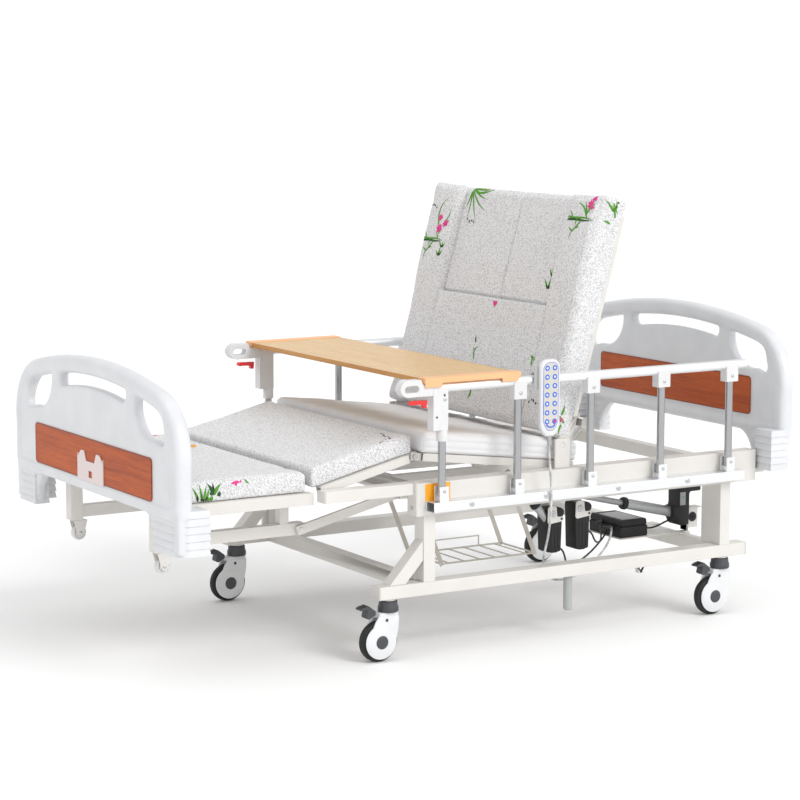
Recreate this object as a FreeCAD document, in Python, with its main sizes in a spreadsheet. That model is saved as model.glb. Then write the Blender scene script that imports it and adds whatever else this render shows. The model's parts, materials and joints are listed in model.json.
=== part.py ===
"""Adjustable nursing bed with drop-down side rails, overbed table and handset.

Frame: +X towards the head, +Y towards the far side, +Z up, millimetres.
The origin is on the floor, midway along and across the bed.
"""
import FreeCAD, Part
import math
import os
import re
from FreeCAD import Placement, Rotation, Vector

# ---------------------------------------------------------------- driving sizes
SIZES = {
    # base frame
    "side_out": 519, "side_in": 466, "tube_wall": 2,
    "base_low": 190, "base_top": 230, "base_foot": -411, "base_head": 970,
    "foot_post": -241, "head_post": 884, "post_half": 20, "brace_run": 117, "brace_rise": 128,
    # main frame
    "main_low": 432, "main_top": 532, "main_foot": -283, "main_head": 1006,
    "arm_foot": -590, "arm_in": 460, "arm_out": 505, "arm_low": 497,
    # end boards
    "board_half": 588, "board_thick": 50, "bumper_deep": 100, "head_face": 1062, "foot_face": -1056,
    "head_leg": 467, "foot_leg": 398, "panel_half": 419, "panel_tall": 126, "panel_thick": 3,
    "head_wood": 631, "foot_wood": 537,
    # side rails
    "rail_y": 548, "post_first": -217, "post_pitch": 271, "post_r": 12, "post_pivot": 510,
    "top_pivot": 787, "top_z": 822, "top_r": 15, "bar_low": 447, "bar_top": 478, "bar_out": 565,
    # casters
    "wheel_r": 62.5, "wheel_half": 14, "trail": 35, "foot_wheel": -404.5, "head_wheel": 851.5,
    # lying surface
    "pad_half": 478, "leg_half": 455, "frame_in": 425, "frame_half": 12, "pad_gap": 13.3,
    "seat_hinge_x": 300, "seat_hinge_z": 532, "seat_long": 554.4, "seat_tilt": 7.25, "seat_thick": 66,
    "calf_long": 359.5, "calf_slope": 13.19, "calf_thick": 55,
    "foot_top": 523, "foot_low": 488, "foot_thick": 58, "foot_end": -602,
    "back_hinge_x": 255, "back_hinge_z": 604, "back_angle": 74.2, "back_long": 754, "back_thick": 85,
    "back_rise": 50.4, "back_start": 38.7,
    # leg lowering links
    "link_x": -225, "link_z": 472, "pin_r": 8, "pin_gap": 0.06,
    # table and handset
    "table_foot": -286, "table_head": 48, "table_half": 530, "table_low": 838, "table_thick": 14,
    "pad_x": 148.5, "hand_wide": 73, "hand_low": 650, "hand_top": 887, "hand_out": 588,
    # small foot casters
    "small_r": 23, "small_x": -1021, "small_y": 300, "small_z": 323,
}
SIDES = (("near", -1), ("far", 1))
ENDS = ("foot", "head")
POST_COUNT = 5

doc = FreeCAD.newDocument("nursing_bed")
sheet = doc.addObject("Spreadsheet::Sheet", "Size")
for row, (alias, value) in enumerate(SIZES.items(), start=1):
    sheet.set(f"A{row}", alias)
    sheet.set(f"B{row}", str(value))
    sheet.setAlias(f"B{row}", alias)
doc.recompute()
ALIASES = re.compile(r"\b(" + "|".join(sorted(SIZES, key=len, reverse=True)) + r")\b")
NODES = []


# ---------------------------------------------------------------- helpers
def bound(text):
    """A size expression with each alias pointing at the sheet."""
    return ALIASES.sub(r"Size.\1", str(text))


def value(alias):
    """The number in one cell of the sheet."""
    return float(sheet.get(alias))


def block(span_x, span_y, span_z, name="Block"):
    """A rectangular bar between three pairs of expressions."""
    box = doc.addObject("Part::Box", name)
    for prop, place, (low, high) in (("Length", "x", span_x), ("Width", "y", span_y),
                                     ("Height", "z", span_z)):
        box.setExpression(prop, bound(f"({high}) - ({low})"))
        box.setExpression(f"Placement.Base.{place}", bound(low))
    return box


AXIS_TURN = {"x": Rotation(Vector(0, 1, 0), 90), "y": Rotation(Vector(1, 0, 0), -90),
             "z": Rotation()}


def rod(radius, length, start, axis="z", name="Rod"):
    """A round bar that runs from start along one axis."""
    bar = doc.addObject("Part::Cylinder", name)
    bar.Placement = Placement(Vector(), AXIS_TURN[axis])
    bar.setExpression("Radius", bound(radius))
    bar.setExpression("Height", bound(length))
    for place, text in zip("xyz", start):
        bar.setExpression(f"Placement.Base.{place}", bound(text))
    return bar


def cut(base, tool, name="Cut"):
    """Base with tool taken away."""
    result = doc.addObject("Part::Cut", name)
    result.Base = base
    result.Tool = tool
    return result


def fused(pieces, name="Fused"):
    """Pieces welded into one solid."""
    result = doc.addObject("Part::MultiFuse", name)
    result.Shapes = pieces
    return result


def holed(base, tools, name="Holed"):
    """Base with several tools taken away."""
    return cut(base, tools[0] if len(tools) == 1 else fused(tools), name)


def tube(span_x, span_y, span_z, along, wall="tube_wall", name="Tube"):
    """A rectangular tube, open at both ends along one axis."""
    inner = []
    for axis, (low, high) in zip("xyz", (span_x, span_y, span_z)):
        if axis == along:
            inner.append((f"({low}) - 1", f"({high}) + 1"))
        else:
            inner.append((f"({low}) + {wall}", f"({high}) - {wall}"))
    return cut(block(span_x, span_y, span_z), block(*inner), name)


def mirrored(piece, name="Mirrored"):
    """The same piece on the other side of the bed."""
    copy = doc.addObject("Part::Mirroring", name)
    copy.Source = piece
    copy.Base = Vector()
    copy.Normal = Vector(0, 1, 0)
    return copy


def both(pieces):
    """Pieces and their mirror images across the bed."""
    return list(pieces) + [mirrored(piece) for piece in pieces]


def outline(points, name="Outline"):
    """A closed sketch in its own XY plane; a point with a middle is the end of an arc."""
    sketch = doc.addObject("Sketcher::SketchObject", name)
    last = points[-1][-2:]
    for point in points:
        end = point[-2:]
        if len(point) == 4:
            arc = Part.Arc(Vector(*last, 0), Vector(*point[:2], 0), Vector(*end, 0))
            sketch.addGeometry(arc, False)
        else:
            sketch.addGeometry(Part.LineSegment(Vector(*last, 0), Vector(*end, 0)), False)
        last = end
    return sketch


def plate_xz(points, span_y, name="Plate"):
    """A plate drawn as X, Z points, between two Y expressions."""
    sketch = outline(points, name + "Outline")
    sketch.Placement = Placement(Vector(), Rotation(Vector(1, 0, 0), 90))
    return extruded(sketch, Vector(0, 1, 0), span_y, name)


def plate_yz(points, span_x, name="Panel"):
    """A plate drawn as Y, Z points, between two X expressions."""
    sketch = outline(points, name + "Outline")
    sketch.Placement = Placement(Vector(), Rotation(Vector(1, 1, 1), 120))
    return extruded(sketch, Vector(1, 0, 0), span_x, name)


def extruded(sketch, direction, span, name):
    """A solid from a sketch, between two expressions along a direction."""
    solid = doc.addObject("Part::Extrusion", name)
    solid.Base = sketch
    solid.DirMode = "Custom"
    solid.Dir = direction
    solid.Solid = True
    solid.setExpression("LengthFwd", bound(span[1]))
    solid.setExpression("LengthRev", bound(f"-({span[0]})"))
    return solid


def node(name, pieces, origin=None, tilt=None):
    """Group pieces as one named sub-part, tilted about a cross-wise axis if asked."""
    group = doc.addObject("Part::Compound", name)
    group.Links = pieces
    group.Label = name
    if origin:
        group.Placement = Placement(Vector(), Rotation(Vector(0, 1, 0), 1))
        group.setExpression("Placement.Base.x", bound(origin[0]))
        group.setExpression("Placement.Base.z", bound(origin[1]))
        group.setExpression("Placement.Rotation.Angle", bound(tilt))
    NODES.append(group)
    return group


def shape_node(name, shape):
    """A sub-part whose shape is made directly."""
    feature = doc.addObject("Part::Feature", name)
    feature.Shape = shape
    feature.Label = name
    NODES.append(feature)
    return feature


def bent_tube(points, radius, print_name=""):
    """A round tube along straight runs joined by the largest tangent arcs that fit."""
    spots = [Vector(*point) for point in points]
    edges = []
    start = spots[0]
    radii = []
    for before, corner, after in zip(spots, spots[1:], spots[2:]):
        into = (corner - before).normalize()
        out = (after - corner).normalize()
        turn = into.getAngle(out)
        reach = 0.45 * min((corner - before).Length, (after - corner).Length)
        radii.append(reach / math.tan(turn / 2))
        first = corner - into * reach
        final = corner + out * reach
        middle = corner + (out - into).normalize() * (radii[-1] / math.cos(turn / 2) - radii[-1])
        edges.append(Part.LineSegment(start, first).toShape())
        edges.append(Part.Arc(first, middle, final).toShape())
        start = final
    edges.append(Part.LineSegment(start, spots[-1]).toShape())
    wire = Part.Wire(edges)
    section = Part.Wire(Part.Circle(spots[0], spots[1] - spots[0], radius).toShape())
    solid = wire.makePipeShell([section], True, False, 2)
    solid = solid if solid.ShapeType == "Solid" else Part.Solid(solid.Shells[0])
    wanted = math.pi * radius ** 2 * wire.Length
    if print_name:
        print(print_name, "length", round(wire.Length), "volume ratio",
              round(solid.Volume / wanted, 3), "radii", [round(size) for size in radii])
    return solid


# ---------------------------------------------------------------- base frame
def base_frame():
    """Welded lower frame: side rails, cross tubes, posts, braces and caster sockets."""
    sides = [
        tube(("base_foot", "base_head"), ("-side_out", "-side_in"), ("base_low", "base_top"), "x"),
        tube(("foot_post - post_half", "foot_post + post_half"), ("-side_out", "-side_in"),
             ("base_top", "main_low"), "z"),
        tube(("head_post - post_half", "head_post + post_half"), ("-side_out", "-side_in + 45"),
             ("base_top", "main_low"), "z"),
    ]
    post_face = value("foot_post") - value("post_half")
    low = value("base_top")
    toe = post_face - value("brace_run")
    rise = value("brace_rise")
    heel = toe + 56
    brace = [(toe, low), (heel, low), (post_face, low + rise * (post_face - heel) / (post_face - toe)),
             (post_face, low + rise)]
    sides.append(plate_xz(brace, ("-side_out + 3", "-side_in - 3"), "Brace"))
    for end in ENDS:
        stem = f"{end}_wheel + trail"
        sides.append(rod(24, 6, (stem, "-side_out + 27", "base_low - 6")))
        sides.append(rod("pin_r", 26, (stem, "-side_out + 27", "base_low - 32")))
    cross = [tube((f"{post} - post_half", f"{post} + post_half"), ("-side_in", "side_in"),
                  ("base_low", "base_top"), "y") for post in ("foot_post", "head_post")]
    tray = [block(("620", "head_post - post_half"), ("-312", "-108"), ("base_top + 6", "base_top + 9"))]
    stays = [block(("head_post - post_half", "head_post + post_half"), span_y, ("base_top", "base_top + 9"))
             for span_y in (("-312", "-282"), ("-148", "-108"))]
    return node("base_frame", both(sides) + cross + tray + stays)


def hinge_ear(span_x, span_y, span_z, centre):
    """An upright lug with a bored pivot hole."""
    hole = rod("pin_r + pin_gap", f"({span_y[1]}) - ({span_y[0]}) + 2",
               (centre[0], f"({span_y[0]}) - 1", centre[1]), "y")
    return cut(block(span_x, span_y, span_z), hole, "Ear")


def main_frame():
    """Upper frame: side rails, leg-rest arms, cross tubes, hinge lugs and board tongues."""
    side = [
        tube(("main_foot", "main_head"), ("-side_out", "-side_in"), ("main_low", "main_top"), "x"),
        block(("main_foot - 4", "main_foot"), ("-side_out", "-side_in"), ("main_low", "main_top + 4")),
        tube(("arm_foot", "main_foot - 4"), ("-arm_out", "-arm_in"), ("arm_low", "main_top"), "x"),
        block(("main_head", "head_face"), ("-side_in - 30", "-side_in - 4"),
              ("main_low + 20", "main_top - 20")),
        hinge_ear(("back_hinge_x - 28", "back_hinge_x + 28"), ("-500.5", "-492.5"),
                  ("main_top", "back_hinge_z + 20"), ("back_hinge_x", "back_hinge_z")),
        hinge_ear(("seat_hinge_x - 20", "seat_hinge_x + 20"), ("-side_in", "-side_in + 8"),
                  ("seat_hinge_z - 32", "seat_hinge_z + 12"), ("seat_hinge_x", "seat_hinge_z")),
        hinge_ear(("link_x - 16", "link_x + 20"), ("-346", "-338"), ("link_z - 17", "link_z + 18"),
                  ("link_x", "link_z")),
    ]
    cross = [tube((f"{low}", f"{low} + 40"), ("-side_in", "side_in"), (base, f"{base} + 40"), "y")
             for low, base in (("link_x + 20", "455"), ("455", "440"), ("960", "440"))]
    rack_rail = tube(("link_x + 60", "455"), ("-112", "-88"), ("461", "485"), "x")
    hanger = [block(("240", "455"), ("-371.8", "-366"), ("415", "445"))]
    hanger += [block((str(low), f"{low} + 40"), ("-371.8", "-366"), ("300", "415")) for low in (256, 362)]
    return node("main_frame", both(side + [rack_rail]) + cross + hanger)


def frame_plugs():
    """Plastic plugs in the open tube ends, and the rest peg and hook under the near rail."""
    plugs = []
    for face, outward, inward in (("base_foot", -4, 22), ("base_head", 4, -22)):
        ends = sorted((outward, 0))
        depth = sorted((0, inward))
        flange = block((f"{face} + {ends[0]}", f"{face} + {ends[1]}"), ("-side_out", "-side_in"),
                       ("base_low", "base_top"))
        spigot = block((f"{face} + {depth[0]}", f"{face} + {depth[1]}"),
                       ("-side_out + tube_wall", "-side_in - tube_wall"),
                       ("base_low + tube_wall", "base_top - tube_wall"))
        plugs.append(fused([flange, spigot]))
    arm_end = block(("arm_foot - 4", "arm_foot"), ("-arm_out", "-arm_in"), ("arm_low", "main_top"))
    tip = doc.addObject("Part::Sphere", "PegTip")
    tip.setExpression("Radius", "13")
    for place, text in zip("xyz", ("285", "-side_out + 27", "92")):
        tip.setExpression(f"Placement.Base.{place}", bound(text))
    peg = fused([rod(13, "base_low - 92", (285, "-side_out + 27", 92)), tip], "Peg")
    hook = fused([block(("541", "547"), ("-side_out", "-side_out + 20"), ("base_low - 14", "base_low")),
                  block(("541", "562"), ("-side_out", "-side_out + 20"), ("base_low - 18", "base_low - 14"))])
    return node("frame_plugs", both(plugs + [arm_end]) + [peg, hook])


def bolt_head(centre, axis, turn_in, radius=7, tall=4):
    """A low round bolt head standing on a face; turn_in is how far it starts before centre."""
    start = list(centre)
    place = "xyz".index(axis)
    start[place] = f"({start[place]}) + ({turn_in})"
    return rod(radius, tall, start, axis, "Bolt")


def frame_bolts():
    """Bolts of the rail bars and of the main rails' end plates."""
    bolts = []
    for number in range(4):
        along = f"post_first + post_pitch * {number + 0.36}"
        bolts.append(bolt_head((along, "-bar_out", "(bar_low + bar_top) / 2"), "y", -4))
    for tall in ("main_low + 24", "main_top - 12"):
        bolts.append(bolt_head(("main_foot - 4", "(-side_out - side_in) / 2", tall), "x", -3, 6, 3))
    return node("frame_bolts", both(bolts))


# ---------------------------------------------------------------- end boards
LEG_INNER = 421
ARCH_TOP = 108
SHOULDER = 250


def board_outline(base):
    """Half-round topped board with two legs, as Y, Z points above its leg bottom."""
    half = value("board_half")
    return [
        (-half, base), (-half, base + SHOULDER),
        (-548, base + 398, -440, base + 462),
        (0, base + 508, 440, base + 462),
        (548, base + 398, half, base + SHOULDER),
        (half, base), (LEG_INNER, base), (LEG_INNER - 10, base + 50),
        (LEG_INNER - 40, base + 92, 327, base + ARCH_TOP),
        (-327, base + ARCH_TOP),
        (-LEG_INNER + 40, base + 92, -LEG_INNER + 10, base + 50), (-LEG_INNER, base),
    ]


def side_hole(base, sign):
    """A D-shaped hand hole beside the centre one."""
    return [(sign * 292, base + 324), (sign * 470, base + 324),
            (sign * 489, base + 328, sign * 489, base + 350),
            (sign * 462, base + 405, sign * 400, base + 424), (sign * 292, base + 436)]


def centre_hole(base):
    """The long hand hole at the top of the board."""
    return [(214, base + 402), (240, base + 428, 214, base + 454),
            (-214, base + 454), (-240, base + 428, -214, base + 402)]


def end_board(name, face, outward, base_alias):
    """A moulded board: panel with hand holes, legs and corner bumpers."""
    base = value(base_alias)
    back = f"({face}) + ({outward}) * board_thick"
    span = (face, back) if outward > 0 else (back, face)
    deep = f"({back}) - ({outward}) * bumper_deep"
    bumper_span = (deep, face) if outward > 0 else (face, deep)
    panel = plate_yz(board_outline(base), span, "Panel")
    tools = [plate_yz(centre_hole(base), (f"({span[0]}) - 5", f"({span[1]}) + 5"), "CentreHole")]
    for sign in (-1, 1):
        tools.append(plate_yz(side_hole(base, sign), (f"({span[0]}) - 5", f"({span[1]}) + 5"), "SideHole"))
    bumper = block(bumper_span, ("-board_half", "-board_half + 88"), (f"{base} + 2", f"{base} + 132"))
    bumpers = both([bumper])
    return node(name, [holed(panel, tools, "Board")] + bumpers)


def wood_panel(name, span_x, low):
    """A flat wood-grained inlay with rounded corners."""
    bottom = value(low)
    top = bottom + value("panel_tall")
    half = value("panel_half")
    corner = 14
    points = [(half - corner, bottom),
              (half - 4, bottom + 4, half, bottom + corner), (half, top - corner),
              (half - 4, top - 4, half - corner, top), (-half + corner, top),
              (-half + 4, top - 4, -half, top - corner), (-half, bottom + corner),
              (-half + 4, bottom + 4, -half + corner, bottom)]
    return node(name, [plate_yz(points, span_x, "Wood")])


def hook_plate():
    """Folded plate on the foot board that carries a document clip or a crank."""
    face = "foot_face - board_thick - panel_thick"
    plate = plate_yz([(-92, 532), (92, 532), (92, 600), (66, 623), (44, 623), (30, 594), (-30, 594),
                      (-44, 623), (-66, 623), (-92, 600)], (f"{face} - 3", face), "HookPlate")
    window = block((f"{face} - 10", f"{face} + 10"), ("-12", "12"), ("546", "566"))
    return node("hook_plate", [cut(plate, window)])


# ---------------------------------------------------------------- side rails
def post_x(number):
    """Where a rail post stands along the bed."""
    return f"post_first + post_pitch * {number}"


def rail_bars():
    """Aluminium bars bolted to the main rails."""
    bar = tube(("post_first - 36", "925"), ("-bar_out", "-side_out"), ("bar_low", "bar_top"), "x", "2.5")
    return node("rail_bars", both([bar]))


CHEEK = ((531.5, 535), (561, 564.5))


def cheeks(x_low, x_high, z_low, z_high):
    """Two upright plates either side of a post, on the near side."""
    return [block((x_low, x_high), (f"-{outer}", f"-{inner}"), (z_low, z_high))
            for inner, outer in CHEEK]


def rail_brackets():
    """Clevis brackets on the rail bars with the posts' lower pivot pins."""
    pieces = []
    for number in range(POST_COUNT):
        x = post_x(number)
        clevis = cheeks(f"{x} - 16", f"{x} + 16", "bar_top", "post_pivot + 14")
        pin = rod(5, 33, (x, "-rail_y - 16.5", "post_pivot"), "y")
        pieces.append(fused(clevis + [pin], "Clevis"))
    return node("rail_brackets", both(pieces))


def rail_post(name, sign, number):
    """One tubular rail post with its two cross-drilled pivot holes."""
    x = post_x(number)
    y = f"({sign}) * rail_y"
    outer = rod("post_r", "top_pivot + 13 - (post_pivot - 15)", (x, y, "post_pivot - 15"))
    inner = rod("post_r - 1.6", "top_pivot + 20 - (post_pivot - 20)", (x, y, "post_pivot - 18"))
    holes = [rod("5 + pin_gap", 30, (x, f"{y} - 15", pivot), "y") for pivot in ("post_pivot", "top_pivot")]
    return node(name, [holed(outer, [inner] + holes, "Post")])


def rail_top(name, sign):
    """The long top tube of one side rail."""
    y = f"({sign}) * rail_y"
    outer = rod("top_r", "925 - (post_first - 40)", ("post_first - 40", y, "top_z"), "x")
    inner = rod("top_r - 1.5", "925 - (post_first - 40) + 2", ("post_first - 41", y, "top_z"), "x")
    return node(name, [cut(outer, inner)])


def rail_fittings(name, sign):
    """Post sockets, latch housing with its grip, and the end plug of one side rail."""
    around = rod("top_r", 1500, ("post_first - 200", "-rail_y", "top_z"), "x")
    pieces = []
    for number in range(POST_COUNT):
        x = post_x(number)
        pin = rod(5, 33, (x, "-rail_y - 16.5", "top_pivot"), "y")
        if number:
            saddle = block((f"{x} - 23", f"{x} + 23"), ("-564.5", "-531.5"), ("top_pivot + 19.5", "top_z"))
            wall = block((f"{x} - 23", f"{x} - 20"), ("-564.5", "-531.5"), ("top_pivot - 18", "top_z"))
            plates = cheeks(f"{x} - 23", f"{x} + 23", "top_pivot - 18", "top_z")
        else:
            saddle = block((f"{x} - 40", f"{x} + 12"), ("-565", "-531"), ("top_pivot + 19.5", "top_z"))
            wall = block((f"{x} - 40", f"{x} - 22"), ("-565", "-531"), ("top_pivot - 92", "top_z"))
            plates = cheeks(f"{x} - 40", f"{x} + 12", "top_pivot - 92", "top_z")
        pieces.append(cut(fused([saddle, wall, pin] + plates), around, "Socket"))
    nose_x = value("post_first") - 154
    grip = plate_xz([(nose_x + 114, 800), (nose_x + 114, 836), (nose_x + 78, 836), (nose_x + 72, 850),
                     (nose_x + 40, 850),
                     (nose_x + 8, 842, nose_x, 822), (nose_x + 12, 806, nose_x + 40, 800)],
                    ("-565", "-531"), "Grip")
    finger = plate_xz([(nose_x + 56, 814), (nose_x + 64, 822, nose_x + 56, 834),
                       (nose_x + 28, 834), (nose_x + 16, 824, nose_x + 20, 814)], ("-570", "-526"), "Finger")
    pieces.append(cut(grip, finger))
    pieces.append(fused([rod("top_r - 1.5", 16, ("925 - 16", "-rail_y", "top_z"), "x"),
                         rod("top_r", 4, (925, "-rail_y", "top_z"), "x")], "EndPlug"))
    return node(name, [mirrored(piece) for piece in pieces] if sign > 0 else pieces)


def rail_release(name, sign):
    """Red finger lever under the latch housing's grip."""
    tip = value("post_first") - 116
    lever = plate_xz([(tip, 778), (tip + 6, 775, tip + 14, 776), (tip + 46, 775), (tip + 47, 764),
                      (tip + 58, 764), (tip + 60, 787), (tip + 4, 788)], ("-556", "-540"), "Lever")
    return node(name, [mirrored(lever)] if sign > 0 else [lever])


# ---------------------------------------------------------------- casters
def caster(side, sign, end):
    """Fork, wheel and brake pedal of one swivelling caster."""
    wheel = f"{end}_wheel"
    stem = f"{wheel} + trail"
    y = f"({sign}) * (side_out - 27)"
    cap = rod(30, 22, (stem, y, "base_low - 6.4 - 22"))
    bore = rod("pin_r + pin_gap", 30, (stem, y, "base_low - 34"))
    crown = block((f"{wheel} - 14", f"{stem} + 30"), (f"{y} - 22", f"{y} + 22"), ("138", "base_low - 28.4"))
    shells = []
    for low in ("- 22", "+ 17"):
        disc = rod(50, 5, (wheel, f"{y} {low}", "wheel_r"), "y")
        cheek = block((f"{wheel} - 14", f"{stem} + 26"), (f"{y} {low}", f"{y} {low} + 5"), ("70", "138"))
        shells.append(fused([disc, cheek]))
    axle = rod("6", 44, (wheel, f"{y} - 22", "wheel_r"), "y")
    fork = cut(fused([cap, crown, axle] + shells, "Fork"), bore)
    node(f"{side}_{end}_caster_fork", [fork])
    tyre = rod("wheel_r", "2 * wheel_half", (wheel, f"{y} - wheel_half", "wheel_r"), "y")
    rounded = doc.addObject("Part::Fillet", "Tyre")
    rounded.Base = tyre
    doc.recompute()
    rounded.Edges = [(number, 5, 5) for number, edge in enumerate(tyre.Shape.Edges, start=1)
                     if isinstance(edge.Curve, Part.Circle)]
    node(f"{side}_{end}_caster_wheel",
         [cut(rounded, rod("6 + pin_gap", 60, (wheel, f"{y} - 30", "wheel_r"), "y"))])
    at = value(wheel)
    pedal = plate_xz([(at - 16, 146), (at - 16, 158), (at - 40, 176), (at - 68, 170), (at - 70, 164),
                      (at - 44, 164), (at - 50, 140), (at - 40, 134)], (f"{y} - 16", f"{y} + 16"), "Pedal")
    node(f"{side}_{end}_brake_pedal", [pedal])


# ---------------------------------------------------------------- lying surface
def crossbars(spans, half, low, high):
    """Square tubes across a section frame."""
    return [tube(span, (f"-{half}", half), (low, high), "y", "1.5") for span in spans]


def back_section():
    """Back frame and its cushion, drawn flat about the hinge and tilted up."""
    under = value("back_rise") - value("back_thick")
    low, high = under - 26, under - 1
    first = "back_start + 30"
    bars = crossbars([(first, f"{first} + 25")], "490", low, high)
    bars += crossbars([("400", "425"), ("715", "740")], "430", low, high)
    bars += crossbars([(str(place), f"{place} + 22") for place in (200, 300, 510, 610)], "430", low, high)
    sides = [tube((f"{first} + 25", "740"), ("-leg_half", "-430"), (low, high), "x", "1.5")]
    arm = plate_xz([(-16, -16), (60, low), (98, low), (98, high), (14, 16), (-16, 16)],
                   ("-490", "-482"), "Arm")
    cross = block((first, f"{first} + 25"), ("-490", "-482"), (low, high))
    sides.append(fused([cut(arm, cross), rod("pin_r", 17, (0, -499, 0), "y")]))
    lever = plate_xz([(68.7, low), (93.7, low), (-142, -130), (-156, -120), (-146, -110)],
                     ("-304", "-296"), "BackLever")
    node("back_frame", both(sides) + bars + [lever], ("back_hinge_x", "back_hinge_z"), "-back_angle")
    cushion = block(("back_start", "back_start + back_long"), ("-pad_half", "pad_half"),
                    ("back_rise - back_thick", "back_rise"))
    node("back_pad", [cushion], ("back_hinge_x", "back_hinge_z"), "-back_angle")


def knee_ear(span_x, span_y, centre_x):
    """A flat ear on a side tube that carries the knee pin."""
    return hinge_ear(span_x, span_y, ("-frame_half", "frame_half"), (centre_x, "0"))


def seat_section():
    """Seat frame with its commode gap, and the seat cushion, drawn flat about the hinge."""
    side = [
        tube(("-seat_long + 24", "14"), ("-leg_half", "-frame_in"), ("-frame_half", "frame_half"),
             "x", "1.5"),
        rod("pin_r", 10, (0, "-leg_half - 10", 0), "y"),
        knee_ear(("-seat_long - 13", "-seat_long + 24"), ("-447", "-440"), "-seat_long"),
        block(("-seat_long + 30", "-60"), ("-leg_half", "-160"), ("frame_half", "frame_half + 1.2")),
    ]
    bars = crossbars([("-seat_long + 24", "-seat_long + 48"), ("-314", "-290")], "frame_in",
                     "-frame_half", "frame_half")
    node("seat_frame", both(side) + bars, ("seat_hinge_x", "seat_hinge_z"), "seat_tilt")
    cushion = block(("-seat_long + 14", "-20"), ("-pad_half", "pad_half"),
                    ("pad_gap", "pad_gap + seat_thick"))
    node("seat_pad", [cushion], ("seat_hinge_x", "seat_hinge_z"), "seat_tilt")


KNEE = ("seat_hinge_x - seat_long * cos(seat_tilt)", "seat_hinge_z + seat_long * sin(seat_tilt)")


def calf_section():
    """Knee shaft, calf frame and calf cushion, drawn flat about the knee."""
    node("knee_shaft", [rod("pin_r", 904, (0, -452, 0), "y")], KNEE, "-calf_slope")
    side = [
        tube(("-335", "-24"), ("-leg_half", "-frame_in"), ("-frame_half", "frame_half"), "x", "1.5"),
        knee_ear(("-24", "13"), ("-438", "-431"), "0"),
    ]
    bars = crossbars([("-130", "-106"), ("-240", "-216")], "frame_in", "-frame_half", "frame_half")
    deck = [block(("-330", "-30"), ("-leg_half", "leg_half"), ("frame_half", "frame_half + 1.2"))]
    node("calf_frame", both(side) + bars + deck, KNEE, "-calf_slope")
    low = value("pad_gap")
    high = low + value("calf_thick")
    cushion = plate_xz([(-14, low), (-14, high), (-300, high), (-345, low)],
                       ("-leg_half", "leg_half"), "CalfPad")
    node("calf_pad", [cushion], KNEE, "-calf_slope")


def foot_section():
    """Level foot frame with its legs and small casters, its cushion and the lowering links."""
    low, high = "foot_low", "foot_top"
    link_end_x = "link_x - calf_long * cos(calf_slope)"
    link_end_z = "link_z - calf_long * sin(calf_slope)"
    side = [
        tube(("foot_face", "foot_end"), ("-leg_half", "-420"), (low, high), "x", "1.5"),
        tube(("small_x - 32", "small_x + 8"), ("-small_y - 20", "-small_y + 20"), ("365", low), "z"),
        tube(("small_x + 8", "-560"), ("-small_y - 15", "-small_y + 15"), ("373", "410"), "x"),
        tube(("-640", "-610"), ("-small_y - 15", "-small_y + 15"), ("410", low), "z"),
        rod("pin_r", 19, (link_end_x, "-small_y - 34", link_end_z), "y"),
        block(("small_x - 20", "small_x + 20"), ("-small_y - 16", "-small_y + 16"), ("361", "365")),
        rod(3, 32, ("small_x", "-small_y - 16", "small_z"), "y"),
    ]
    for inner, outer in ((13, 16), (-16, -13)):
        ear = block(("small_x - 14", "small_x + 14"), (f"-small_y + {inner}", f"-small_y + {outer}"),
                    ("small_z - 6", "361"))
        axle = rod(3, 8, ("small_x", f"-small_y + {inner} - 2", "small_z"), "y")
        side.append(cut(ear, axle))
    bars = crossbars([("-1053", "-1013"), ("-860", "-830"), ("-645", "-610")], "420", low, high)
    deck = [block(("-1050", "-612"), ("-leg_half", "leg_half"), (high, f"{high} + 1.5"))]
    node("foot_frame", both(side) + bars + deck)
    base = value("foot_top") + 1.8
    top = base + value("foot_thick")
    cushion = plate_xz([(-1032, base), (-614, base), (-659, top), (-1032, top)], ("-leg_half", "leg_half"),
                       "FootPad")
    node("foot_pad", [cushion])
    wheels = []
    for sign in (-1, 1):
        middle = f"({sign}) * small_y"
        roller = rod("small_r", 22, ("small_x", f"{middle} - 11", "small_z"), "y")
        wheels.append(cut(roller, rod("3 + pin_gap", 40, ("small_x", f"{middle} - 20", "small_z"), "y")))
    node("foot_caster_wheels", wheels)
    bar = block(("-calf_long - 12", "12"), ("-330", "-318"), ("-14", "14"))
    eye = rod("pin_r + pin_gap", 20, ("-calf_long", -334, 0), "y")
    strap = cut(bar, eye)
    hub = cut(strap, rod("pin_r", 20, (0, -334, 0), "y"))
    shaft = rod("pin_r", 700, (0, -350, 0), "y")
    node("leg_links", both([hub]) + [shaft], ("link_x", "link_z"), "-calf_slope")


# ---------------------------------------------------------------- table and handset
def overbed_table():
    """Loose tabletop and the two end clips that sit over the rail tops."""
    top = "table_low + table_thick"
    board = block(("table_foot", "table_head"), ("-table_half", "table_half"), ("table_low", top))
    node("table_top", [board])
    low = "top_z + top_r + 0.4"
    cap = block(("table_foot - 3", "table_head + 3"), ("-571", "-table_half"), (low, f"{top} + 3"))
    under = block(("table_foot", "table_head"), ("-table_half", "-500"), ("table_low - 4", "table_low"))
    tabs = [block((foot, head), ("-571", "-567"), ("top_z + 4", low))
            for foot, head in (("table_foot - 3", "table_foot + 58"), ("table_head - 64", "table_head - 6"))]
    node("table_clips", both([fused([cap] + tabs), under]))


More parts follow.
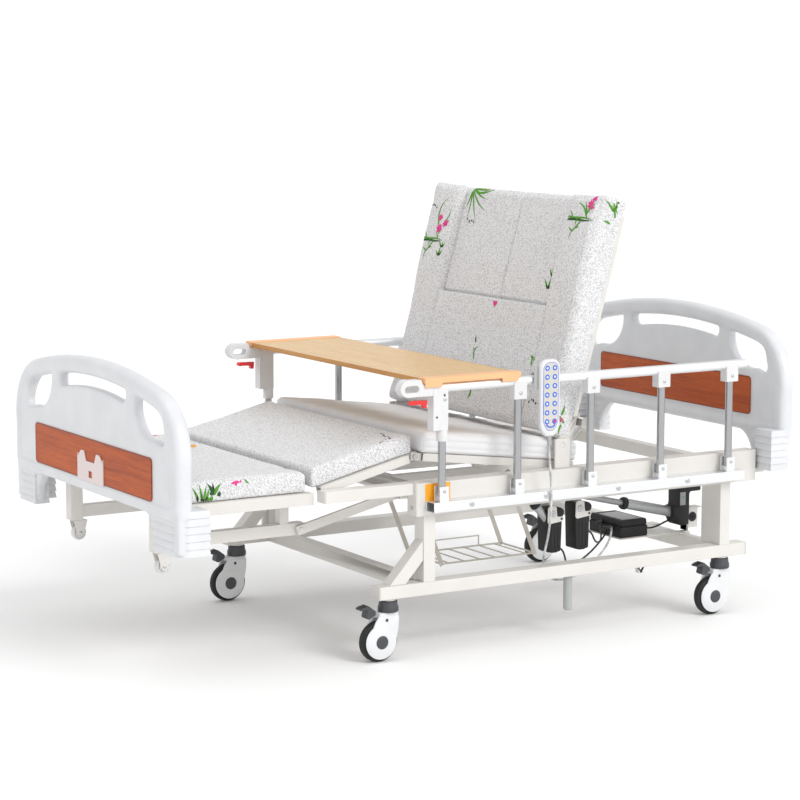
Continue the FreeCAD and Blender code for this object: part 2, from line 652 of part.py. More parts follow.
def handset():
    """Hand control with the hook that hangs it on the near rail."""
    span_x = ("pad_x - hand_wide / 2", "pad_x + hand_wide / 2")
    body = block(span_x, ("-hand_out", "-566.5"), ("hand_low", "hand_top"), "HandsetBody")
    rounded = doc.addObject("Part::Fillet", "HandsetRound")
    rounded.Base = body
    doc.recompute()
    rounded.Edges = [(number, 14, 14) for number, edge in enumerate(body.Shape.Edges, start=1)
                     if abs(edge.tangentAt(edge.FirstParameter).y) > 0.9]
    hook_x = ("pad_x - 14", "pad_x + 14")
    over = block(hook_x, ("-566.5", "-525"), ("top_z + top_r + 0.4", "top_z + top_r + 4.4"))
    lip = block(hook_x, ("-530", "-525"), ("top_z - 4", "top_z + top_r + 0.4"))
    node("handset", [rounded, fused([over, lip])])


# ---------------------------------------------------------------- drive
def along(origin, slope, pieces, name):
    """Pieces drawn along X from an origin, then tipped about a cross-wise axis."""
    group = doc.addObject("Part::Compound", name)
    group.Links = pieces
    group.Placement = Placement(Vector(*origin), Rotation(Vector(0, 1, 0), slope))
    return group


BACK_DRIVE = ((868, -282, 299.5), 13.4)
KNEE_DRIVE = ((268, -412, 345), 48.0)


def actuators():
    """Three motors with their guide tubes; each tube is bored for its rod."""
    guide = cut(rod(17, 230, (-230, 0, 0), "x"), rod(10.6, 240, (-235, 0, 0), "x"))
    back_tube = along(*BACK_DRIVE, [guide], "BackGuide")
    back_motor = block(("868", "898"), ("-315", "-250"), ("262", "388"), "BackMotor")
    clevis = [block(("898", "930"), span_y, ("272", "300")) for span_y in (("-300", "-294"), ("-272", "-266"))]
    clevis_base = block(("898", "head_post + post_half"), ("-300", "-266"), ("base_top + 9", "262"))
    knee_guide = cut(rod(13, 90, (-90, 0, 0), "x"), rod(8.6, 100, (-95, 0, 0), "x"))
    knee_tube = along(*KNEE_DRIVE, [knee_guide], "KneeGuide")
    motors = [block(("246", "306"), ("-432", "-372"), ("240", "331"), "KneeMotor"),
              block(("352", "412"), ("-432", "-372"), ("240", "345"), "LegMotor")]
    leg_tube = rod(13, 90, (382, -402, 345), "z", "LegGuide")
    fixed = [back_tube, back_motor, clevis_base, knee_tube, leg_tube]
    return node("actuator_bodies", fixed + clevis + motors)


def actuator_rods():
    """The two sliding rods with flattened ends beside the levers that they push."""
    back = along(*BACK_DRIVE, [rod(10, 540, (-552, 0, 0), "x")], "BackRod")
    node("back_rod", [back])
    knee = along(*KNEE_DRIVE, [rod(8, 200, (-240, 0, 0), "x")], "KneeRod")
    node("knee_rod", [knee])


def control_box():
    """Sealed control box on the tray of the base frame."""
    body = block(("630", "738"), ("-300", "-120"), ("base_top + 9", "298"))
    node("control_box", [body])


# ---------------------------------------------------------------- wires and leads
def wire_between(start, end, radius):
    """A straight round wire."""
    first, last = Vector(*start), Vector(*end)
    return Part.makeCylinder(radius, (last - first).Length, first, last - first)


RACK_LEAN = 0.40
RACK_TOP = 461


def bedpan_rack():
    """Wire tray under the seat on four strap links from the main frame."""
    foot, head, half, low, lip_rise = 65, 425, 99, 178, 34
    rim, rung, rim_knot, rung_knot = 3.0, 2.2, 3.7, 2.8
    corners = [(foot, -half, low), (head, -half, low), (head, half, low), (foot, half, low)]
    pieces = [wire_between(a, b, rim) for a, b in zip(corners, corners[1:] + corners[:1])]
    pieces += [Part.makeSphere(rim_knot, Vector(*corner)) for corner in corners]
    count, margin = 6, 30
    for number in range(count):
        x = foot + margin + number * (head - foot - 2 * margin) / (count - 1)
        pieces.append(wire_between((x, -half, low), (x, half, low), rung))
    lip_foot, lip_head, lip_top = foot + 40, head - 90, low + lip_rise
    lip = [(lip_foot, half, low), (lip_foot, half, lip_top), (lip_head, half, lip_top), (lip_head, half, low)]
    pieces += [wire_between(a, b, rung) for a, b in zip(lip, lip[1:])]
    pieces += [Part.makeSphere(rung_knot, Vector(*spot)) for spot in lip[1:3]]
    width, thick, tail, bar_deep = 14, 4, 6, 8
    rise = RACK_TOP - low
    for x in (foot, head):
        bar_foot = x - RACK_LEAN * rise - width / 2
        pieces.append(Part.makeBox(width, 2 * half + thick + 2, bar_deep,
                                   Vector(bar_foot, -half - thick / 2 - 1, RACK_TOP - bar_deep)))
        for y in (-half, half):
            strap = Part.makeBox(width, thick, math.hypot(rise, RACK_LEAN * rise) + 1)
            strap.translate(Vector(-width / 2, -thick / 2, -tail))
            strap.rotate(Vector(), Vector(0, 1, 0), -math.degrees(math.atan(RACK_LEAN)))
            strap.translate(Vector(x, y, low))
            pieces.append(strap)
    shape_node("bedpan_rack", pieces[0].multiFuse(pieces[1:]))


CORD_RADIUS = 3.5
CORD_ROUTE = [
    (150, -577, 649.7), (150, -577, 622), (153, -577, 580), (158, -576, 530), (163, -574, 480),
    (169, -566, 430), (177, -549, 382), (187, -526, 337), (197, -500, 296), (207, -473, 258),
    (219, -449, 222), (238, -431, 190), (268, -418, 167), (306, -408, 155), (348, -398, 152),
    (392, -386, 158), (436, -372, 170), (480, -356, 186), (522, -338, 205), (560, -318, 226),
    (590, -296, 247), (612, -272, 262), (630, -246, 268),
]
LEAD_RADIUS = 3
LEAD_ROUTES = {
    "knee": [(306, -402, 262), (326, -402, 252), (340, -396, 226), (356, -380, 200), (392, -362, 188),
             (440, -346, 196), (490, -328, 214), (540, -300, 232), (590, -268, 250), (630, -222, 262)],
    "back": [(738, -214, 268), (758, -214, 264), (778, -218, 250), (800, -228, 244), (826, -242, 254),
             (846, -262, 272), (868, -276, 280)],
    "leg": [(412, -402, 300), (430, -400, 300), (448, -392, 288), (470, -374, 262), (500, -350, 246),
            (536, -318, 244), (570, -272, 256), (600, -226, 270), (630, -190, 276)],
}


def cords():
    """The handset cord and the leads between the motors and the control box."""
    shape_node("handset_cord", bent_tube(CORD_ROUTE, CORD_RADIUS, "handset cord"))
    leads = [bent_tube(route, LEAD_RADIUS, f"{name} lead") for name, route in LEAD_ROUTES.items()]
    shape_node("actuator_leads", Part.makeCompound(leads))


# ---------------------------------------------------------------- the whole bed
base_frame()
main_frame()
frame_plugs()
frame_bolts()
end_board("head_board", "head_face", 1, "head_leg")
end_board("foot_board", "foot_face", -1, "foot_leg")
wood_panel("head_wood_panel", ("head_face - panel_thick", "head_face"), "head_wood")
wood_panel("foot_wood_panel", ("foot_face - board_thick - panel_thick", "foot_face - board_thick"),
           "foot_wood")
hook_plate()
rail_bars()
rail_brackets()
for side, sign in SIDES:
    for number in range(POST_COUNT):
        rail_post(f"{side}_rail_post_{number + 1}", sign, number)
    rail_top(f"{side}_rail_top", sign)
    rail_fittings(f"{side}_rail_fittings", sign)
    rail_release(f"{side}_rail_release", sign)
    for end in ENDS:
        caster(side, sign, end)
back_section()
seat_section()
calf_section()
foot_section()
overbed_table()
handset()
actuators()
actuator_rods()
control_box()
bedpan_rack()
cords()
doc.recompute()

failed = [item.Label for item in doc.Objects if {"Invalid", "Error"} & set(item.State)]
failed += [item.Label for item in NODES if item.Shape.isNull() or not item.Shape.isValid()]
if failed:
    raise RuntimeError(f"failed objects: {failed}")
os.makedirs("parts", exist_ok=True)
for item in NODES:
    item.Shape.exportStep(f"parts/{item.Label}.step")
print(len(NODES), "sub-parts written")
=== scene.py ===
"""Adjustable nursing bed: finishes, cushions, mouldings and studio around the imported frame.

Lengths are in metres in the bed's own frame: +X to the head, +Y to the far side, +Z up.
"""

from __future__ import annotations

import json
import logging
import math
import random
from dataclasses import dataclass, field
from enum import Enum
from typing import Callable, Iterable, Sequence

import bmesh
import bpy
import numpy as np
from mathutils import Matrix, Vector, noise
from mathutils.bvhtree import BVHTree

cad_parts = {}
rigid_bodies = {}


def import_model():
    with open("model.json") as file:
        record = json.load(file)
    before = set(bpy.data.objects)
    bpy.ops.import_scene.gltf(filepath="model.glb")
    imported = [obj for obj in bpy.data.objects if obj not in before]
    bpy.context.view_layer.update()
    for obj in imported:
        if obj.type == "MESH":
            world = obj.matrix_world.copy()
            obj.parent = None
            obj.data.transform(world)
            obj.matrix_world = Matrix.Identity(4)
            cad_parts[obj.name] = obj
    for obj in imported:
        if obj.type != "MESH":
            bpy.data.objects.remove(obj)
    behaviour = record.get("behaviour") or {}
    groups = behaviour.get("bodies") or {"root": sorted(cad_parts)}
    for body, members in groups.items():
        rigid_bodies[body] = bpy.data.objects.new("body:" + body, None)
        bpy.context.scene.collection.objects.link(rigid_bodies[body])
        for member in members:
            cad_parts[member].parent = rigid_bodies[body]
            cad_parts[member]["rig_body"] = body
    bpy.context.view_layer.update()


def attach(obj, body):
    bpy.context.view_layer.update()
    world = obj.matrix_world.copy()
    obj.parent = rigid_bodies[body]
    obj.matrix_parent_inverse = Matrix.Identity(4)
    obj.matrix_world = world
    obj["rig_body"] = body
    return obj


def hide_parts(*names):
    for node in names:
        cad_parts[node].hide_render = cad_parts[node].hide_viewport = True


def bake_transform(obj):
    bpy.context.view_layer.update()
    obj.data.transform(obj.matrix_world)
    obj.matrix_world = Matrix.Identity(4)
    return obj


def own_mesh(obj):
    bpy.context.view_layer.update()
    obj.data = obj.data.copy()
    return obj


LOG = logging.getLogger("nursing_bed")
MM = 0.001
PAD_HALF = 478  # half the width of the CAD cushions, in millimetres
RAIL_LINE = 0.548  # how far the side rails' posts stand from the middle
SHARP_ANGLE = 38  # edges sharper than this stay crisp, in degrees
Point = Sequence[float]


class Side(Enum):
    """The two long sides of the bed and their sign along Y."""

    NEAR = -1
    FAR = 1

    @property
    def label(self) -> str:
        """The side's name as nodes and bodies use it."""
        return self.name.lower()


class End(Enum):
    """The two ends of the bed and their sign along X."""

    FOOT = -1
    HEAD = 1

    @property
    def label(self) -> str:
        """The end's name as nodes and bodies use it."""
        return self.name.lower()


# ------------------------------------------------------------------ shader wiring
class Wiring:
    """A material's node tree with short calls for the nodes that the finishes share."""

    def __init__(self, name: str) -> None:
        """Start a material.

        Args:
            name: The material's name.
        """
        self.material = bpy.data.materials.new(name)
        self.material.use_nodes = True
        self.tree = self.material.node_tree
        self.shader = self.tree.nodes["Principled BSDF"]
        self.coords = self.tree.nodes.new("ShaderNodeTexCoord").outputs["Object"]

    def add(self, kind: str, **values: object) -> bpy.types.Node:
        """Add a node.

        Args:
            kind: The node's type without its ShaderNode prefix.
            **values: Attributes of the node.

        Returns:
            The new node.
        """
        node = self.tree.nodes.new("ShaderNode" + kind)
        for key, value in values.items():
            setattr(node, key, value)
        return node

    def link(self, source: object, target: object) -> None:
        """Join an output socket to an input socket."""
        self.tree.links.new(source, target)

    def stretched(self, scale: Point) -> object:
        """Object coordinates scaled per axis.

        Args:
            scale: The three factors.

        Returns:
            The vector output.
        """
        mapping = self.add("Mapping")
        mapping.inputs["Scale"].default_value = scale
        self.link(self.coords, mapping.inputs["Vector"])
        return mapping.outputs["Vector"]

    def noise(self, scale: float, detail: float = 3.0, vector: object = None, rough: float = 0.5) -> object:
        """Noise as a factor.

        Args:
            scale: Cycles per metre.
            detail: Octaves.
            vector: Coordinates, the object's own where None.
            rough: How much the small octaves count.

        Returns:
            The factor output.
        """
        node = self.add("TexNoise")
        node.inputs["Scale"].default_value = scale
        node.inputs["Detail"].default_value = detail
        node.inputs["Roughness"].default_value = rough
        self.link(vector or self.coords, node.inputs["Vector"])
        return node.outputs["Fac"]

    def cells(self, scale: float, vector: object = None) -> object:
        """Distance to the nearest cell centre.

        Args:
            scale: Cells per metre.
            vector: Coordinates, the object's own where None.

        Returns:
            The distance output.
        """
        node = self.add("TexVoronoi", feature="F1")
        node.inputs["Scale"].default_value = scale
        self.link(vector or self.coords, node.inputs["Vector"])
        return node.outputs["Distance"]

    def ramp(self, factor: object, stops: Sequence[tuple[float, Point]]) -> object:
        """A colour ramp.

        Args:
            factor: What drives it.
            stops: Position and colour pairs.

        Returns:
            The colour output.
        """
        node = self.add("ValToRGB")
        elements = node.color_ramp.elements
        while len(elements) < len(stops):
            elements.new(0.5)
        for element, (place, colour) in zip(elements, stops):
            element.position = place
            element.color = (*colour, 1)
        self.link(factor, node.inputs["Fac"])
        return node.outputs["Color"]

    def between(self, factor: object, low: float, high: float) -> object:
        """A factor turned into a range.

        Args:
            factor: What drives it, from 0 to 1.
            low: The value at 0.
            high: The value at 1.

        Returns:
            The value output.
        """
        node = self.add("MapRange")
        node.inputs["To Min"].default_value = low
        node.inputs["To Max"].default_value = high
        self.link(factor, node.inputs["Value"])
        return node.outputs["Result"]

    def bump(self, height: object, strength: float, distance: float, under: object = None) -> object:
        """A bump from a height.

        Args:
            height: The height output.
            strength: How much of it shows.
            distance: The height of one unit, in metres.
            under: A normal to add it to.

        Returns:
            The normal output.
        """
        node = self.add("Bump")
        node.inputs["Strength"].default_value = strength
        node.inputs["Distance"].default_value = distance
        self.link(height, node.inputs["Height"])
        if under is not None:
            self.link(under, node.inputs["Normal"])
        return node.outputs["Normal"]

    def set(self, **sockets: object) -> None:
        """Set or link the shader's sockets; underscores stand for spaces."""
        for name, value in sockets.items():
            socket = self.shader.inputs[name.replace("_", " ")]
            if isinstance(value, bpy.types.NodeSocket):
                self.link(value, socket)
            else:
                socket.default_value = value


@dataclass(frozen=True)
class Finish:
    """A finish with one main colour.

    Attributes:
        name: The material's name.
        slot: The record's material slot; not used.
        colour: Its main colour, linear.
        rough: Its roughness.
    """

    name: str
    slot: str
    colour: tuple[float, float, float]
    rough: float = 0.4

    def material(self) -> bpy.types.Material:
        """The finish's material, made once."""
        found = bpy.data.materials.get(self.name)
        if found is None:
            wiring = Wiring(self.name)
            self.wire(wiring)
            found = wiring.material
        return found

    def shades(self, wiring: Wiring, factor: object, spread: float) -> object:
        """The main colour made a little darker and lighter.

        Args:
            wiring: The material's wiring.
            factor: What drives the variation.
            spread: How far the colour goes either way, as a share.

        Returns:
            The colour output.
        """
        low = tuple(max(0.0, part * (1 - spread)) for part in self.colour)
        high = tuple(min(1.0, part * (1 + spread)) for part in self.colour)
        return wiring.ramp(factor, [(0.35, low), (0.65, high)])

    def wire(self, wiring: Wiring) -> None:
        """Connect the finish's nodes.

        Args:
            wiring: The material's wiring.
        """
        raise NotImplementedError


@dataclass(frozen=True)
class PowderCoat(Finish):
    """Baked powder on steel, with a fine orange peel."""

    def wire(self, wiring: Wiring) -> None:
        """Connect the finish's nodes.

        Args:
            wiring: The material's wiring.
        """
        peel = wiring.bump(wiring.noise(420, 2), 0.22, 0.0006)
        broad = wiring.noise(7, 4)
        wiring.set(
            Base_Color=self.shades(wiring, broad, 0.025), Normal=peel,
            Roughness=wiring.between(broad, self.rough - 0.06, self.rough + 0.08))
        wiring.set(Coat_Weight=0.25, Coat_Roughness=0.22)


@dataclass(frozen=True)
class Moulded(Finish):
    """Moulded plastic with a spark-eroded grain."""

    grain: float = 0.25
    coat: float = 0.0

    def wire(self, wiring: Wiring) -> None:
        """Connect the finish's nodes.

        Args:
            wiring: The material's wiring.
        """
        fine = wiring.noise(900, 2)
        broad = wiring.noise(11, 3)
        wiring.set(
            Base_Color=self.shades(wiring, broad, 0.03), Normal=wiring.bump(fine, self.grain, 0.0004),
            Roughness=wiring.between(broad, self.rough - 0.05, self.rough + 0.06))
        wiring.set(Coat_Weight=self.coat, Coat_Roughness=0.12, Specular_IOR_Level=0.5)


@dataclass(frozen=True)
class Metal(Finish):
    """Bare metal with draw lines along one axis."""

    lines: tuple[float, float, float] = (2.0, 260.0, 260.0)
    streak: float = 0.15

    def wire(self, wiring: Wiring) -> None:
        """Connect the finish's nodes.

        Args:
            wiring: The material's wiring.
        """
        drawn = wiring.noise(6, 3, wiring.stretched(self.lines))
        smudge = wiring.noise(18, 4)
        wiring.set(
            Base_Color=self.shades(wiring, drawn, 0.06), Normal=wiring.bump(drawn, self.streak, 0.0004),
            Roughness=wiring.between(smudge, self.rough - 0.06, self.rough + 0.1))
        wiring.set(Metallic=1.0)


@dataclass(frozen=True)
class WoodLaminate(Finish):
    """Printed wood laminate: long grain along Y, darker pores and a thin lacquer."""

    dark: tuple[float, float, float] = (0.1, 0.02, 0.01)
    along: tuple[float, float, float] = (30.0, 1.6, 30.0)
    contrast: float = 1.0

    def wire(self, wiring: Wiring) -> None:
        """Connect the finish's nodes.

        Args:
            wiring: The material's wiring.
        """
        grain = wiring.noise(1.5, 7, wiring.stretched(self.along), 0.62)
        pores = wiring.noise(
            7, 2, wiring.stretched((self.along[0] * 3, self.along[1] * 2, self.along[2] * 3)))
        middle = tuple((a * 0.6 + b * 0.4) for a, b in zip(self.colour, self.dark))
        spread = 0.16 / self.contrast
        base = wiring.ramp(grain, [(0.5 - spread, self.dark), (0.5, middle), (0.5 + spread, self.colour)])
        mix = wiring.add("Mix", data_type="RGBA", blend_type="MULTIPLY")
        mix.inputs[0].default_value = 0.5
        wiring.link(base, mix.inputs[6])
        wiring.link(wiring.ramp(pores, [(0.36, (0.6, 0.5, 0.45)), (0.5, (1.0, 1.0, 1.0))]), mix.inputs[7])
        wiring.set(
            Base_Color=mix.outputs[2], Normal=wiring.bump(pores, 0.12, 0.0003),
            Roughness=wiring.between(grain, self.rough - 0.05, self.rough + 0.05))
        wiring.set(Coat_Weight=0.12, Coat_Roughness=0.25, Specular_IOR_Level=0.25)


@dataclass(frozen=True)
class Ticking(Finish):
    """Embossed mattress ticking: pebbled relief with painted shade darkening its hollows."""

    pebbles: float = 230.0
    speckle: float = 0.40

    def wire(self, wiring: Wiring) -> None:
        """Connect the finish's nodes.

        Args:
            wiring: The material's wiring.
        """
        warped = wiring.add("VectorMath", operation="ADD")
        drift = wiring.add("TexNoise")
        drift.inputs["Scale"].default_value = 60
        scaled = wiring.add("VectorMath", operation="SCALE")
        scaled.inputs["Scale"].default_value = 0.012
        wiring.link(wiring.coords, drift.inputs["Vector"])
        wiring.link(drift.outputs["Color"], scaled.inputs[0])
        wiring.link(wiring.coords, warped.inputs[0])
        wiring.link(scaled.outputs["Vector"], warped.inputs[1])
        pebble = wiring.cells(self.pebbles, warped.outputs["Vector"])
        patch = wiring.noise(34, 3)
        weave = wiring.noise(1500, 1)
        # The colour darkens towards each pebble's edge, where the relief lies low: painted shade in the
        # hollows.
        hollow_shade_colour = tuple(part * (1 - self.speckle) for part in self.colour)
        hollow_shaded_pebbles = wiring.ramp(pebble, [(0.42, self.colour), (0.66, hollow_shade_colour)])
        mix = wiring.add("Mix", data_type="RGBA")
        wiring.link(wiring.between(patch, 0.0, 0.45), mix.inputs[0])
        wiring.link(hollow_shaded_pebbles, mix.inputs[6])
        mix.inputs[7].default_value = (*self.colour, 1)
        relief = wiring.bump(pebble, 0.5, -0.002)
        wiring.set(
            Base_Color=mix.outputs[2], Normal=wiring.bump(weave, 0.25, 0.0004, relief),
            Roughness=wiring.between(patch, self.rough - 0.06, self.rough + 0.04))
        wiring.set(Sheen_Weight=0.25, Sheen_Roughness=0.5, Specular_IOR_Level=0.2)


@dataclass(frozen=True)
class Cover(Finish):
    """Plain woven cover with soft creases, its colour a little darker in their valleys: painted shade."""

    def wire(self, wiring: Wiring) -> None:
        """Connect the finish's nodes.

        Args:
            wiring: The material's wiring.
        """
        crease = wiring.noise(9, 5, wiring.stretched((1.0, 2.2, 1.0)))
        weave = wiring.noise(1400, 1)
        folds = wiring.bump(crease, 0.55, 0.012)
        # The colour follows the crease noise that shapes the folds, a little darker in their valleys: painted
        # shade.
        wiring.set(
            Base_Color=self.shades(wiring, crease, 0.015), Normal=wiring.bump(weave, 0.3, 0.0004, folds),
            Roughness=wiring.between(crease, self.rough - 0.05, self.rough + 0.05))
        wiring.set(Sheen_Weight=0.3, Sheen_Roughness=0.5, Specular_IOR_Level=0.2)


@dataclass(frozen=True)
class Ink(Finish):
    """Ink printed on cloth, broken up by the weave."""

    def wire(self, wiring: Wiring) -> None:
        """Connect the finish's nodes.

        Args:
            wiring: The material's wiring.
        """
        weave = wiring.noise(700, 2)
        wiring.set(
            Base_Color=self.shades(wiring, weave, 0.25), Normal=wiring.bump(weave, 0.3, 0.0005),
            Roughness=wiring.between(weave, self.rough - 0.05, self.rough))
        wiring.set(Specular_IOR_Level=0.2)


@dataclass(frozen=True)
class Rubber(Finish):
    """Dull rubber with a dusty bloom."""

    def wire(self, wiring: Wiring) -> None:
        """Connect the finish's nodes.

        Args:
            wiring: The material's wiring.
        """
        bloom = wiring.noise(40, 4)
        wiring.set(
            Base_Color=self.shades(wiring, bloom, 0.35), Normal=wiring.bump(wiring.noise(600, 2), 0.2,
                0.0005), Roughness=wiring.between(bloom, self.rough - 0.08, self.rough + 0.1))


class Finishes:
    """Every finish on the bed, by the words a maker would use."""

    POWDER = PowderCoat("warm_white_powder_coat", "white_powder_coat", (0.70, 0.68, 0.645), 0.42)
    WIRE = PowderCoat("champagne_wire_coat", "white_powder_coat", (0.62, 0.585, 0.52), 0.4)
    BOARD = Moulded("satin_white_board", "white_plastic", (0.69, 0.70, 0.72), 0.36, 0.3, 0.15)
    FITTING = Moulded("white_nylon_fitting", "white_plastic", (0.72, 0.72, 0.72), 0.38)
    SHELL = Moulded("white_caster_shell", "caster_shell", (0.72, 0.73, 0.74), 0.3, 0.2, 0.2)
    CAP = Moulded("dark_grey_caster_cap", "pedal_grey", (0.055, 0.058, 0.065), 0.5, 0.5)
    BLACK = Moulded("black_motor_housing", "black_plastic", (0.005, 0.005, 0.0055), 0.55, 0.6)
    LABEL = Moulded("grey_foil_plate", "black_plastic", (0.33, 0.34, 0.35), 0.35, 0.2)
    RED = Moulded("glossy_red_lever", "red_plastic", (0.78, 0.012, 0.015), 0.25, 0.1, 0.5)
    PEACH = Moulded("peach_clip", "peach_plastic", (0.87, 0.48, 0.24), 0.4, 0.2)
    KEYPAD = Moulded("blue_keypad_film", "white_plastic", (0.015, 0.12, 0.66), 0.35, 0.15, 0.2)
    KEYFILM = Moulded("warm_grey_keypad_film", "white_plastic", (0.60, 0.58, 0.53), 0.4, 0.3)
    KEY = Moulded("pale_key_disc", "white_plastic", (0.62, 0.70, 0.80), 0.35, 0.15)
    NYLON = Moulded("milky_nylon_wheel", "small_wheel_plastic", (0.70, 0.70, 0.69), 0.35)
    GREEN = Moulded("green_lamp", "white_plastic", (0.02, 0.45, 0.10), 0.3)
    PLUG = Moulded("warm_white_plug", "white_plastic", (0.66, 0.64, 0.61), 0.45)
    GREY = Moulded("light_grey_moulding", "small_wheel_plastic", (0.40, 0.41, 0.41), 0.45)
    AMBER = Moulded("amber_reflector", "peach_plastic", (0.93, 0.40, 0.02), 0.22, 0.5, 0.6)
    SATIN = Metal("satin_rail_aluminium", "satin_aluminium", (0.86, 0.87, 0.88), 0.42)
    TUBE = Metal("white_anodised_tube", "satin_aluminium", (0.88, 0.89, 0.90), 0.5)
    BRIGHT = Metal(
        "polished_post_aluminium", "polished_aluminium", (0.44, 0.445, 0.455), 0.17, (260.0, 260.0, 2.0), 0.1)
    ROD = Metal("grey_lift_rod", "satin_aluminium", (0.42, 0.43, 0.44), 0.45)
    GUIDE = Metal("grey_guide_tube", "satin_aluminium", (0.50, 0.51, 0.52), 0.5)
    ZINC = Metal("zinc_plated_steel", "zinc_steel", (0.56, 0.57, 0.58), 0.32, (30.0, 30.0, 30.0), 0.1)
    WOOD = WoodLaminate(
        "red_cherry_laminate", "wood_laminate", (0.54, 0.105, 0.012), 0.5, (0.33, 0.048, 0.005),
        (30.0, 1.6, 30.0), 1.0)
    WOOD_EDGE = Moulded("dark_inlay_edge", "wood_laminate", (0.17, 0.030, 0.012), 0.4, 0.2)
    HOOK = PowderCoat("blush_hook_plate", "white_powder_coat", (0.72, 0.615, 0.60), 0.4)
    BEECH = WoodLaminate(
        "steamed_beech_board", "beech_board", (0.76, 0.53, 0.27), 0.4, (0.64, 0.41, 0.18), (34.0, 1.4, 34.0),
        0.7)
    BEECH_EDGE = WoodLaminate(
        "darker_beech_edge", "beech_board", (0.66, 0.33, 0.09), 0.4, (0.48, 0.21, 0.05), (30.0, 1.4, 60.0),
        0.8)
    # The ticking's pebbled hollows carry painted shade.
    PRINTED = Ticking("speckled_ticking", "printed_ticking", (0.79, 0.79, 0.80), 0.85)
    WHITE = Cover("plain_white_cover", "white_ticking", (0.76, 0.76, 0.775), 0.85)
    LEAF = Ink("leaf_green_ink", "printed_ticking", (0.10, 0.31, 0.035), 0.85)
    STEM = Ink("dark_stem_ink", "printed_ticking", (0.03, 0.10, 0.03), 0.85)
    PETAL = Ink("pink_petal_ink", "printed_ticking", (0.74, 0.06, 0.28), 0.85)
    AMBER_INK = Ink("amber_diamond_ink", "printed_ticking", (0.80, 0.38, 0.06), 0.85)
    SOOT = Ink("black_dab_ink", "printed_ticking", (0.02, 0.02, 0.02), 0.85)
    TYRE = Rubber("black_tyre", "tyre_rubber", (0.010, 0.010, 0.011), 0.62)
    CABLE = Rubber("black_cable_sheath", "black_rubber", (0.008, 0.008, 0.009), 0.5)
    CORD = Rubber("light_grey_cord_sheath", "cable_grey", (0.52, 0.53, 0.54), 0.5)


# ------------------------------------------------------------------ mesh building
def place(obj: bpy.types.Object, finish: Finish | None, body: str, *nodes: str) -> bpy.types.Object:
    """Give a piece its finish and its body, and hide what it stands for.

    Args:
        obj: The piece.
        finish: Its finish, or None where its faces have theirs already.
        body: The body that it rides on.
        *nodes: CAD nodes that it stands for.

    Returns:
        The same piece.
    """
    if finish is not None:
        obj.data.materials.clear()
        obj.data.materials.append(finish.material())
    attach(obj, body)
    if nodes:
        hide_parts(*nodes)
    return obj


def linked(name: str, mesh: bpy.types.Mesh, smooth: bool = True) -> bpy.types.Object:
    """A new object from a mesh.

    Args:
        name: The piece's name.
        mesh: Its mesh.
        smooth: Whether its faces shade smoothly.

    Returns:
        The new object.
    """
    obj = bpy.data.objects.new(name, mesh)
    bpy.context.scene.collection.objects.link(obj)
    if smooth:
        mesh.shade_smooth()
    return obj


def applied(obj: bpy.types.Object) -> bpy.types.Object:
    """Replace a piece's mesh with what its modifiers make.

    Args:
        obj: The piece.

    Returns:
        The same piece with no modifiers.
    """
    graph = bpy.context.evaluated_depsgraph_get()
    mesh = bpy.data.meshes.new_from_object(obj.evaluated_get(graph))
    old = obj.data
    obj.modifiers.clear()
    obj.data = mesh
    if old.users == 0 and isinstance(old, bpy.types.Mesh):
        bpy.data.meshes.remove(old)
    return obj


def islands(work: bmesh.types.BMesh) -> list[list[bmesh.types.BMEdge]]:
    """The edges of each loose part of a mesh.

    Args:
        work: The mesh.

    Returns:
        One list of edges for each part.
    """
    seen: set[bmesh.types.BMVert] = set()
    parts = []
    for seed in work.verts:
        if seed in seen:
            continue
        seen.add(seed)
        stack, edges = [seed], set()
        while stack:
            for edge in stack.pop().link_edges:
                edges.add(edge)
                for vertex in edge.verts:
                    if vertex not in seen:
                        seen.add(vertex)
                        stack.append(vertex)
        parts.append(list(edges))
    return parts


def softened(obj: bpy.types.Object, width: float, segments: int = 2, angle: float = 35.0) -> bpy.types.Object:
    """Round the sharp edges of each loose part of a piece.

    Args:
        obj: The piece.
        width: The width of the rounding.
        segments: How many faces make the round.
        angle: The least angle between faces that counts as an edge, in degrees.

    Returns:
        The same piece.
    """
    least = math.radians(angle)
    work = bmesh.new()
    work.from_mesh(obj.data)
    for part in islands(work):
        sharp = [edge for edge in part if len(edge.link_faces) == 2 and edge.calc_face_angle(0) > least]
        if sharp:
            bmesh.ops.bevel(
                work, geom=sharp, offset=width, segments=segments, profile=0.5, affect="EDGES",
                clamp_overlap=True)
    work.to_mesh(obj.data)
    work.free()
    obj.data.shade_smooth()
    obj.data.set_sharp_from_angle(angle=math.radians(50))
    weighted = obj.modifiers.new("weighted", "WEIGHTED_NORMAL")
    weighted.keep_sharp = True
    return applied(obj)


def copied(node: str, name: str) -> bpy.types.Object:
    """A welded copy of a CAD node's mesh with its flat faces joined.

    Args:
        node: The CAD node.
        name: The copy's name.

    Returns:
        The copy.
    """
    source = bpy.data.objects[node]
    work = bmesh.new()
    work.from_mesh(source.data)
    bmesh.ops.remove_doubles(work, verts=work.verts, dist=2e-6)
    bmesh.ops.dissolve_limit(work, angle_limit=math.radians(0.8), verts=work.verts, edges=work.edges)
    mesh = bpy.data.meshes.new(name)
    work.to_mesh(mesh)
    work.free()
    return linked(name, mesh)


def refined(node: str, finish: Finish, width: float, angle: float = 35.0) -> bpy.types.Object:
    """Stand a softened copy in for a CAD node.

    Args:
        node: The CAD node.
        finish: Its finish.
        width: The width of its rounded edges.
        angle: The least angle that counts as an edge, in degrees.

    Returns:
        The piece.
    """
    body = bpy.data.objects[node]["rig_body"]
    piece = softened(copied(node, node + "_shown"), width, 2, angle)
    return place(piece, finish, body, node)


def carried(node: str, finish: Finish) -> None:
    """Give a CAD node that stays its finish.

    Args:
        node: The CAD node.
        finish: Its finish.
    """
    obj = bpy.data.objects[node]
    obj.data.materials.clear()
    obj.data.materials.append(finish.material())
    obj.data.shade_smooth()
    obj.data.set_sharp_from_angle(angle=math.radians(30))


